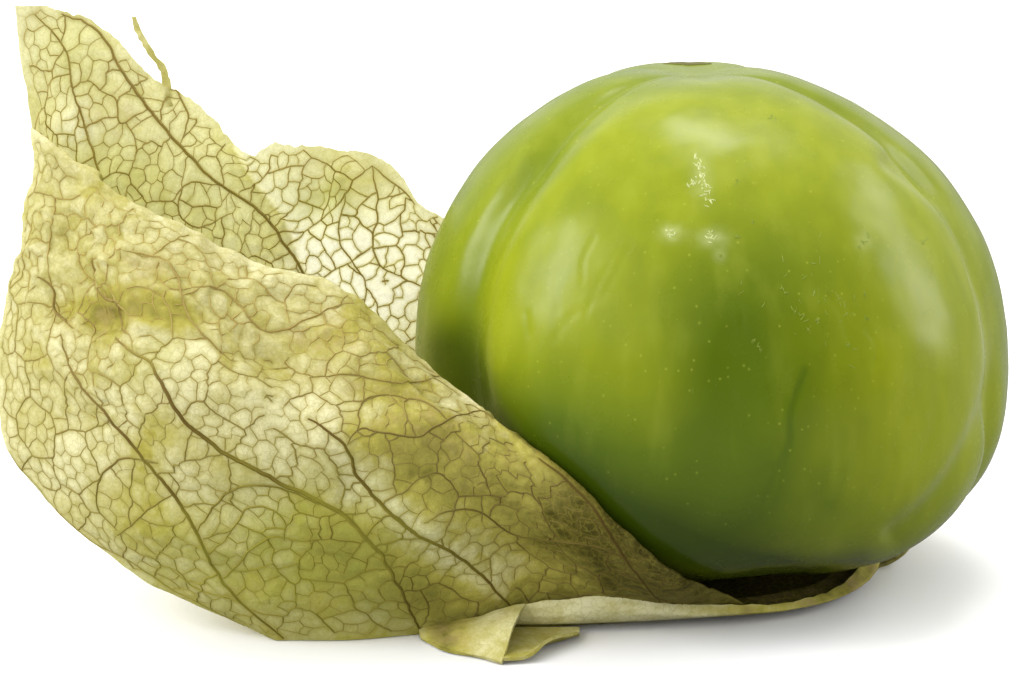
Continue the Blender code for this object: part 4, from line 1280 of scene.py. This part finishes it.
def paper_colour(tree, web, crease):
    """The paper's colour from its masks, with painted light and shade on its crumples and painted shade where
    it lies in shadow.
    """
    patch = between(tree, place_noise(tree, 260.0, 5.0), 0.3, 0.7, -0.13, 0.13)
    fine = between(tree, place_noise(tree, 1500.0, 3.0), 0.35, 0.65, -0.07, 0.07)
    tone = plus(tree, mask(tree, "tone"), mask(tree, "shade"))
    tone = plus(tree, tone, plus(tree, patch, fine))
    # Painted light and shade on the crumples where the paper is dry: paler on the creases' crests, deeper in
    # tone between them
    crease_light_and_shade = times(tree, between(tree, crease, 0.5, 1.4, 0.12, -0.20), mask(tree, "dry"))
    tone = plus(tree, tone, crease_light_and_shade, True)
    colour = blend(tree, between(tree, tone, 0.0, 0.5), PALE_PAPER, MID_PAPER)
    colour = blend(tree, between(tree, tone, 0.5, 1.0), colour, DARK_PAPER)
    hue = between(tree, place_noise(tree, 330.0, 4.0), 0.3, 0.7, 0.3, 0.9)
    colour = blend(tree, times(tree, mask(tree, "green"), hue, True), colour, GREEN_PAPER)
    rusty = between(tree, place_noise(tree, 500.0, 5.0), 0.45, 0.62)
    rust = times(tree, times(tree, mask(tree, "rust"), rusty), 0.6, True)
    colour = blend(tree, rust, colour, RUST_PAPER)
    colour = blend(tree, times(tree, mask(tree, "halo"), 0.5), colour, HALO)
    colour = blend(tree, between(tree, mask(tree, "vein"), 0.03, 0.35, 0.35, 0.0), colour, HALO)
    # Painted shade where the husk lies in shadow under and beside the berry
    colour = blend(tree, mask(tree, "dark"), colour, PAINTED_SHADE_PAPER)
    return blend(tree, between(tree, web, 0.01, 0.08, 0.28, 0.0), colour, HALO)


def paper_material(name, glassy):
    """Dry veined paper that light shines through, with clear cells where it is glassy."""
    material, tree, output = new_material(name)
    web = warped_web(tree, 1500.0)
    crease = creases(tree)
    colour = paper_colour(tree, web, crease)
    folds = times(tree, crease, mask(tree, "dry"))
    relief = plus(tree, place_noise(tree, 2600.0, 4.0), times(tree, web, -0.5))
    relief = plus(tree, relief, times(tree, folds, 2.4))
    bump = node(tree, "Bump", {"Strength": 0.6, "Distance": 0.00012, "Height": relief}).outputs[0]
    skin = {"Base Color": colour, "Roughness": 0.62, "Specular IOR Level": 0.12, "Normal": bump}
    face = node(tree, "BsdfPrincipled", skin).outputs[0]
    deep = blend(tree, 0.4, colour, (0.85, 0.82, 0.30))
    shine = node(tree, "BsdfTranslucent", {"Color": deep, "Normal": bump}).outputs[0]
    thin = mask(tree, "thin")
    share = times(tree, thin, between(tree, mask(tree, "clear"), 0.0, 1.0, 0.55, 0.65))
    paper = node(tree, "MixShader", {0: share, 1: face, 2: shine}).outputs[0]
    if glassy:
        away = between(tree, mask(tree, "vein"), 0.06, 0.25, 0.0, 0.22)
        window = node(tree, "BsdfTransparent").outputs[0]
        open_cell = times(tree, mask(tree, "clear"), away)
        paper = node(tree, "MixShader", {0: open_cell, 1: paper, 2: window}).outputs[0]
    return show(material, tree, output, paper)


def vein_material():
    """Woody veins, browner where they are stout."""
    material, tree, output = new_material("husk_vein")
    patch = between(tree, place_noise(tree, 260.0, 3.0), 0.35, 0.65, -0.15, 0.3)
    colour = blend(tree, mask(tree, "thick"), FINE_VEIN, STOUT_VEIN)
    colour = blend(tree, plus(tree, mask(tree, "green"), patch, True), colour, GREEN_VEIN)
    colour = blend(tree, between(tree, mask(tree, "tone"), 0.35, 1.0, 0.0, 0.8), colour, DARK_VEIN)
    colour = blend(tree, mask(tree, "faint"), colour, FAINT_VEIN)
    skin = {"Base Color": colour, "Roughness": 0.6, "Specular IOR Level": 0.15}
    face = node(tree, "BsdfPrincipled", skin).outputs[0]
    shine = node(tree, "BsdfTranslucent", {"Color": colour}).outputs[0]
    mixed = node(tree, "MixShader", {0: 0.45, 1: face, 2: shine}).outputs[0]
    return show(material, tree, output, mixed)


def berry_material():
    """Glossy green skin, with deeper patches that are partly painted shade, faint streaks from top to bottom,
    and painted shade beside the husk and under the berry.
    """
    material, tree, output = new_material("berry_skin_look")
    patch = place_noise(tree, 60.0, 3.0)
    deep = plus(tree, mask(tree, "deep"), between(tree, patch, 0.3, 0.7, -0.12, 0.12), True)
    colour = blend(tree, deep, BERRY_BRIGHT, BERRY_DEEP)
    where = node(tree, "TexCoord").outputs["Object"]
    stretched = node(tree, "Mapping", {"Vector": where, "Scale": (1.0, 1.0, 0.22)}).outputs[0]
    streak = node(tree, "TexNoise", {"Vector": stretched, "Scale": 420.0, "Detail": 4.0}).outputs[0]
    colour = blend(tree, between(tree, streak, 0.45, 0.75, 0.0, 0.25), colour, BERRY_DEEP)
    colour = blend(tree, between(tree, streak, 0.25, 0.45, 0.12, 0.0), colour, BERRY_PALE)
    fleck = node(tree, "TexVoronoi", {"Vector": where, "Scale": 1000.0}).outputs["Distance"]
    colour = blend(tree, between(tree, fleck, 0.04, 0.14, 0.35, 0.0), colour, BERRY_PALE)
    # Painted shade on the skin beside the husk and under the berry
    colour = blend(tree, mask(tree, "dark"), colour, BERRY_PAINTED_SHADE)
    colour = blend(tree, mask(tree, "pale"), colour, CORK)
    fine = place_noise(tree, 1800.0, 4.0)
    relief = plus(tree, times(tree, streak, 0.8), times(tree, fine, 0.25))
    bump = node(tree, "Bump", {"Strength": 0.14, "Distance": 0.0002, "Height": relief}).outputs[0]
    gloss = between(tree, place_noise(tree, 240.0, 4.0), 0.3, 0.7, 0.20, 0.32)
    skin = {"Base Color": colour, "Roughness": gloss, "IOR": 1.34, "Normal": bump}
    face = node(tree, "BsdfPrincipled", skin).outputs[0]
    return show(material, tree, output, face)


def plain_material(name, colour, roughness, other, scale):
    """A matt material of two mottled colours."""
    material, tree, output = new_material(name)
    mixed = blend(tree, between(tree, place_noise(tree, scale, 4.0), 0.35, 0.65), colour, other)
    face = node(tree, "BsdfPrincipled", {"Base Color": mixed, "Roughness": roughness}).outputs[0]
    return show(material, tree, output, face)


def berry_points(directions):
    """Where the berry's skin lies along unit directions from its middle."""
    ring = np.linalg.norm(directions[:, :2], axis=1)
    rise = directions[:, 2]
    upper = rise >= 0
    power = np.where(upper, 2.0, BERRY_LOW_POWER)
    reach = np.where(upper, BERRY_RISE, BERRY_DROP)
    radius = ((ring / BERRY_RADIUS) ** power + (np.abs(rise) / reach) ** power) ** (-1.0 / power)
    azimuth = np.degrees(np.arctan2(directions[:, 1], directions[:, 0]))
    for centre, depth, width in FURROWS:
        off = ((azimuth - centre + 180.0) % 360.0 - 180.0) / width
        valley = bell(off, 1.0) + bell(off, FURROW_SPREAD)
        radius -= 0.5 * depth * valley * ring**FURROW_FADE * (1.0 - bell(ring, SMOOTH_TOP))
    for around, elevation, height, width in BULGES:
        around, elevation = math.radians(around), math.radians(elevation)
        level = math.cos(elevation)
        top = np.array([level * math.cos(around), level * math.sin(around), math.sin(elevation)])
        angle = np.arccos(np.clip(directions @ top, -1.0, 1.0))
        radius += height * bell(angle, math.radians(width))
    points = directions * radius[:, None]
    level = np.hypot(points[:, 0], points[:, 1])
    depth = np.where(upper, TOP_DIMPLE[0], BOTTOM_DIMPLE[0])
    width = np.where(upper, TOP_DIMPLE[1], BOTTOM_DIMPLE[1])
    points[:, 2] -= np.where(upper, 1.0, -1.0) * depth * bell(level, width)
    return points


def ball_faces(rings, segments):
    """Faces of a ball of rings of points, with its top and bottom points last."""
    faces = []
    top, bottom, last = rings * segments, rings * segments + 1, (rings - 1) * segments
    for j in range(segments):
        k = (j + 1) % segments
        faces.append((top, j, k))
        faces.append((bottom, last + k, last + j))
        for upper in range(0, last, segments):
            lower = upper + segments
            faces.append((upper + j, lower + j, lower + k, upper + k))
    return faces


def make_berry():
    """The berry with its creases, and the marks on its skin."""
    polar = np.linspace(0.0, math.pi, BERRY_RINGS + 1)[1:-1]
    even = np.arange(BERRY_SEGMENTS) * 2 * math.pi / BERRY_SEGMENTS
    around = even - FRONT_DENSITY * np.cos(even)
    p, a = np.meshgrid(polar, around, indexing="ij")
    directions = np.stack([np.sin(p) * np.cos(a), np.sin(p) * np.sin(a), np.cos(p)], axis=-1).reshape(-1, 3)
    directions = np.concatenate([directions, [[0.0, 0.0, 1.0], [0.0, 0.0, -1.0]]])
    turn = np.array(Euler(BERRY_LEAN).to_matrix())
    middle = np.array([0.0, 0.0, BERRY_REST + BERRY_DROP])
    points = berry_points(directions) @ turn.T + middle
    outward = unit(points - middle)
    places = seen(points)
    facing = within(-outward[:, 1] * 3.0)
    sink = layered(points, BERRY_UNEVEN)
    for depth, width, path in BERRY_CREASES:
        away = distance_to_path(places, through(path, [6] * (len(path) - 1)))
        sink += facing * depth * (bell(away, width) - 0.3 * bell(away, 2.5 * width))
    points -= outward * sink[:, None]
    # Deeper green: partly the skin's own colour, partly painted shade low on the front and beside the husk;
    # the streaks add painted shade in the low crease and the left furrow, and a painted highlight beside that
    # furrow
    deep = facing * blobs(places, BERRY_DEEP_GREENS_AND_SHADE) + (1 - facing) * (0.5 + 0.4 * soft(points, 14.0, 5.0))
    deep = within(deep + facing * bands(places, BERRY_STREAKS_AND_PAINTED_LIGHT))
    # Painted shade beside the husk and under the berry
    dark = within(facing * bands(places, BERRY_PAINTED_SHADES), 0.9)
    pale = facing * within(blobs(places, BERRY_PALES), 0.6) * (0.6 + 0.4 * soft(points, 0.5, 3.0))
    masks = {"deep": deep, "dark": dark, "pale": pale}
    faces = ball_faces(len(polar), BERRY_SEGMENTS)
    berry = mesh_object("berry", points, faces, berry_material(), masks)
    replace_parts(berry, "fruit")
    front = np.flatnonzero(outward[:, 1] < 0.2)
    make_marks(points[front], outward[front], tree_of(on_plane(places[front])))


def on_skin(points, outward, skin, path):
    """Places and normals on the berry's skin along a path given as seen."""
    curve = through(path, [8] * (len(path) - 1)) if len(path) > 1 else np.asarray(path, float)
    places, normals = [], []
    for spot in curve:
        found = skin.find_n(Vector((*spot, 0.0)), 4)
        weights = np.array([1.0 / (f[2] + 0.02) for f in found])
        weights /= weights.sum()
        index = [f[1] for f in found]
        places.append(weights @ points[index])
        normals.append(weights @ outward[index])
    return np.array(places), unit(np.array(normals))


def make_marks(points, outward, skin):
    """Flakes of pale cork on the skin, and the dried rest of the flower on top."""
    cork = plain_material("berry_cork", CORK, 0.7, (0.50, 0.56, 0.20), 1500.0)
    draw = np.random.default_rng(SEED)
    rough, fine = [], []
    for index, (spread, count, radius, path) in enumerate(CORK_PATCHES):
        curve = through(path, [10] * (len(path) - 1))
        for spot in curve[draw.integers(0, len(curve), count)] + draw.normal(0.0, spread, (count, 2)):
            girth = radius * draw.uniform(*FLAKE_GIRTH)
            flake = (spot, girth, draw.uniform(*FLAKE_LENGTH), draw.uniform(0.0, math.pi))
            (rough if index < BRIGHT_PATCHES else fine).append(flake)
    across, up, wide, high, count = SCRATCHED
    limits = (SCRATCH_GIRTH, SCRATCH_LENGTH, SCRATCH_TURN)
    for _ in range(count):
        spot = np.array((across, up)) + draw.normal(0.0, 0.5, 2) * (wide, high)
        fine.append((spot, *(draw.uniform(*limit) for limit in limits)))
    dull = plain_material("berry_dull_cork", (0.26, 0.32, 0.04), 0.6, (0.20, 0.27, 0.015), 1500.0)
    for name, material, flakes in (("berry_cork", cork, rough), ("berry_scratches", dull, fine)):
        paths = []
        for spot, radius, length, angle in flakes:
            way = 0.5 * length * np.array((math.cos(angle), math.sin(angle)))
            bend = spot + draw.normal(0.0, 0.04, 2)
            places, normals = on_skin(points, outward, skin, (spot - way, bend, spot + way))
            paths.append((places[::4], normals[::4], radius * np.array(FLAKE_TAPER)))
        verts, faces = tubes(paths)
        mesh_object(name, verts, faces, material)
    bark = plain_material("berry_scar", (0.10, 0.10, 0.02), 0.7, (0.19, 0.17, 0.05), 1200.0)
    half, across, up = FLOWER_SCAR
    path = ((across - half, up), (across, up + 0.1), (across + half, up))
    places, normals = on_skin(points, outward, skin, path)
    thick = SCAR_GIRTH * (1.0 - 0.8 * np.linspace(-1, 1, len(places)) ** 2)
    verts, faces = tubes([(places, normals, thick)])
    mesh_object("berry_flower_scar", verts, faces, bark)


def make_husk():
    """Every piece of the husk."""
    materials = {"paper": paper_material("husk_paper_skin", False), "vein": vein_material()}
    glassy = {**materials, "paper": paper_material("husk_glassy_skin", True)}
    grid = rough_paper(walls_grid(FRONT_LINES, FRONT_STEPS, FRONT_ACROSS), 1.0, FRONT_DENTS)
    front = Wall(grid, 1.0, 1.0)
    veins = [(front.route(path), radius, crest) for radius, crest, path in FRONT_VEINS]
    wall_pieces("husk_front", front, veins, front_paint, False, materials, rolled)
    grid = overlapped(torn(rough_paper(walls_grid(BACK_LINES, BACK_STEPS, BACK_ACROSS), -1.0, BACK_DENTS)))
    back = Wall(grid, -1.0, -1.0)
    veins = [(back.route(path), radius, crest) for radius, crest, path in BACK_VEINS]
    rows = np.arange(FLOOR_STEPS, grid.shape[1] - 2, 1.5)
    for line in HIDDEN_RIBS:
        veins.append((np.stack([np.full(len(rows), float(line * BACK_ACROSS)), rows], axis=1), *HIDDEN_RIB))
    wall_pieces("husk_back", back, veins, back_paint, True, glassy)
    make_floor(materials["paper"], front.grid, back.grid)
    make_saucer(materials["paper"])
    make_strip(materials["paper"], back.grid)


def make_floor(paper, front, back):
    """The husk's flat floor under the berry."""
    feet = (FRONT_LINES[-1][0], *FLOOR_FEET, BACK_LINES[-1][0])
    floor = np.stack([over_floor(foot, FLOOR_ROWS) for foot in feet])
    rim = np.concatenate([front[::-FLOOR_SKIP, 0], back[::FLOOR_SKIP, 0], floor[::-1, 0]])
    verts = np.concatenate([[CORE], floor.reshape(-1, 3), rim])
    faces = [tuple(face) for face in grid_faces(len(feet), FLOOR_ROWS + 1) + 1]
    start = len(verts) - len(rim)
    faces.extend((0, start + k, start + (k + 1) % len(rim)) for k in range(len(rim)))
    # The husk's floor under the berry: the deepest tone and painted shade, standing in for the hollow's
    # shadow
    masks = {**flat_paint(1.0, 0.0)(seen(verts), verts), "dark": np.full(len(verts), FLOOR_PAINTED_SHADE)}
    mesh_object("husk_floor", verts, faces, paper, masks)


def saucer_grid():
    """The saucer's floor in front and its rim, curled up."""
    lines = []
    centre = np.array(RIM_CENTRE)
    for x, y, height, lean in RIM_STATIONS:
        foot = np.array((x, y))
        inward = unit(centre - foot)
        start = foot + inward * RIM_FLOOR
        bend = foot + inward * (SHEET + RIM_BEND)
        knee = foot + inward * SHEET
        top = foot + inward * (SHEET + lean)
        middle = SHEET + RIM_KNEE_SHARE * (height - SHEET)
        lines.append(((*start, SHEET + RIM_FLOOR_RISE), (*bend, SHEET), (*knee, middle), (*top, height)))
    return line_grid(lines, (6, 8, 12), 16)


def thick_sheet(name, grid, material, tone, thin, spots=(), behind=0.0, dark=0.0):
    """A small sheet of the husk with a thickness; the side of its normals' back can be given a deeper tone
    and painted shade.
    """
    verts, faces = shell(grid, SMALL_SHEET)
    masks = flat_paint(tone, thin)(seen(verts), verts)
    lines = SHEET_LINES * soft(verts * (0.2, 0.2, 1.0), 0.4, 3.0)
    masks["tone"] = masks["tone"] + blobs(seen(verts), spots) + lines
    # On the side the normals turn from, a deeper tone and painted shade: on the saucer that side is its
    # inside, in the hollow under the berry
    masks["tone"][len(verts) // 2 :] += behind
    masks["rust"] = masks["rust"] + blobs(seen(verts), spots)
    masks["dark"] = np.zeros(len(verts))
    masks["dark"][len(verts) // 2 :] = dark
    mesh_object(name, verts, faces, material, masks)


def make_saucer(paper):
    """The saucer's rim, the corner folded out at its left end, and the lip under it."""
    saucer = saucer_grid()
    rise = ramp(saucer[..., 2], SHEET, 0.8)
    ripple = 0.12 * soft(saucer, 2.0, 6.0) + 0.06 * soft(saucer * (0.4, 0.4, 2.0), 0.7, 2.0)
    saucer = saucer + normals_of(saucer) * (rise * ripple)[..., None]
    saucer[:, -1, 2] += layered(saucer[:, -1], RIM_UNEVEN)
    # The saucer's inside gets painted shade, standing in for the hollow's shadow under the berry
    thick_sheet("husk_saucer", saucer, paper, 0.06, 0.1, SAUCER_TONES, behind=0.9, dark=0.6)
    corner = line_grid(CORNER_LINES, (12, 12), 14)
    corner = corner + normals_of(corner) * (0.15 * soft(corner, 1.6, 4.0))[..., None]
    corner[..., 2] = np.maximum(corner[..., 2], 0.02)
    thick_sheet("husk_corner", corner, paper, 0.20, 0.2, CORNER_TONES)
    lip = line_grid(LIP_LINES, (10, 10), 10)
    lip[..., 2] = np.maximum(lip[..., 2] + 0.1 * soft(lip, 1.5, 9.0), SMALL_SHEET)
    thick_sheet("husk_lip", lip, paper, 0.35, 0.2)


def make_strip(paper, back):
    """The torn strip, grown out of the back wall's edge."""
    line = np.array(STRIP_LINE)
    edge = back.reshape(-1, 3)
    gap = edge[nearest(tree_of(edge), line[:1])[1][0]] - line[0]
    line[0] += gap
    line[1] += STRIP_FOLLOW * gap
    centre = through(line, [STRIP_STEPS] * (len(line) - 1))
    places = np.linspace(0, len(STRIP_LINE) - 1, len(centre))
    widths = np.interp(places, range(len(STRIP_LINE)), STRIP_HALF_WIDTHS)
    side = np.array(STRIP_SIDE)
    strip = []
    for share in np.linspace(-1.0, 1.0, STRIP_ACROSS):
        ragged = STRIP_SHARE + 0.35 * soft(centre + 3.0 * np.sign(share), 0.45, 6.0)
        strip.append(centre + share * (widths * ragged)[:, None] * side)
    strip = np.stack(strip)
    strip[..., 1] += 0.12 * soft(strip, 0.7, 4.0)
    verts, faces = shell(strip, STRIP_SHEET)
    mesh_object("husk_strip", verts, faces, paper, flat_paint(0.05, 1.0)(seen(verts), verts))


def make_stage():
    """A white floor and the light."""
    data = bpy.data.meshes.new("floor")
    corners = [(x * FLOOR_HALF, y * FLOOR_HALF) for x, y in ((-1, -1), (1, -1), (1, 1), (-1, 1))]
    data.from_pydata([(x, y, FLOOR_LEVEL) for x, y in corners], [], [(0, 1, 2, 3)])
    material, tree, output = new_material("floor_white")
    shown = node(tree, "LightPath").outputs["Is Camera Ray"]
    white = blend(tree, shown, (FLOOR_BOUNCE,) * 3, (FLOOR_WHITE,) * 3)
    tree.links.new(node(tree, "BsdfDiffuse", {"Color": white}).outputs[0], output.inputs["Surface"])
    data.materials.append(material)
    floor = bpy.data.objects.new("floor", data)
    bpy.context.scene.collection.objects.link(floor)
    make_sky()
    for name, place, aim, size, power, shines in LIGHTS:
        light = bpy.data.lights.new(name, "AREA")
        light.shape = "RECTANGLE"
        light.size, light.size_y = size
        light.energy = power
        lamp = bpy.data.objects.new(name, light)
        lamp.location = place
        lamp.visible_glossy = shines
        lamp.rotation_euler = (Vector(aim) - Vector(place)).to_track_quat("-Z", "Y").to_euler()
        bpy.context.scene.collection.objects.link(lamp)


def make_sky():
    """A white studio, bright above and behind and dim in front."""
    world = bpy.data.worlds.new("studio")
    world.use_nodes = True
    tree = world.node_tree
    tree.nodes.clear()
    way = node(tree, "TexCoord").outputs["Generated"]
    toward = node(tree, "VectorMath", {0: way, 1: SKY_BRIGHT_WAY}, operation="DOT_PRODUCT").outputs["Value"]
    light = between(tree, toward, *SKY_SPREAD, *SKY_LIGHT)
    shown = node(tree, "LightPath").outputs["Is Camera Ray"]
    strength = maths(tree, "MAXIMUM", light, times(tree, shown, SKY_SHOWN))
    output = tree.nodes.new("ShaderNodeOutputWorld")
    sky = node(tree, "Background", {"Color": (1.0, 1.0, 1.0, 1.0), "Strength": strength}).outputs[0]
    tree.links.new(sky, output.inputs["Surface"])
    bpy.context.scene.world = world
    bpy.context.scene.view_settings.view_transform = "Standard"


def make_camera():
    """The camera, which looks down a little at the whole."""
    view = Vector((0.0, math.cos(TILT), -math.sin(TILT)))
    across, rise = PICTURE_MIDDLE
    forward = rise * math.sin(TILT) + BERRY_DEPTH * math.cos(TILT)
    height = rise * math.cos(TILT) - BERRY_DEPTH * math.sin(TILT)
    lens = bpy.data.cameras.new("camera")
    lens.sensor_width = SENSOR
    lens.lens = SENSOR * CAMERA_DISTANCE / PICTURE_WIDTH
    lens.clip_start = 0.01
    camera = bpy.data.objects.new("camera", lens)
    camera.location = (Vector((across, forward, height)) - view * CAMERA_DISTANCE) * MM
    camera.rotation_euler = view.to_track_quat("-Z", "Y").to_euler()
    bpy.context.scene.collection.objects.link(camera)
    bpy.context.scene.camera = camera


make_camera()
make_stage()
make_berry()
make_husk()
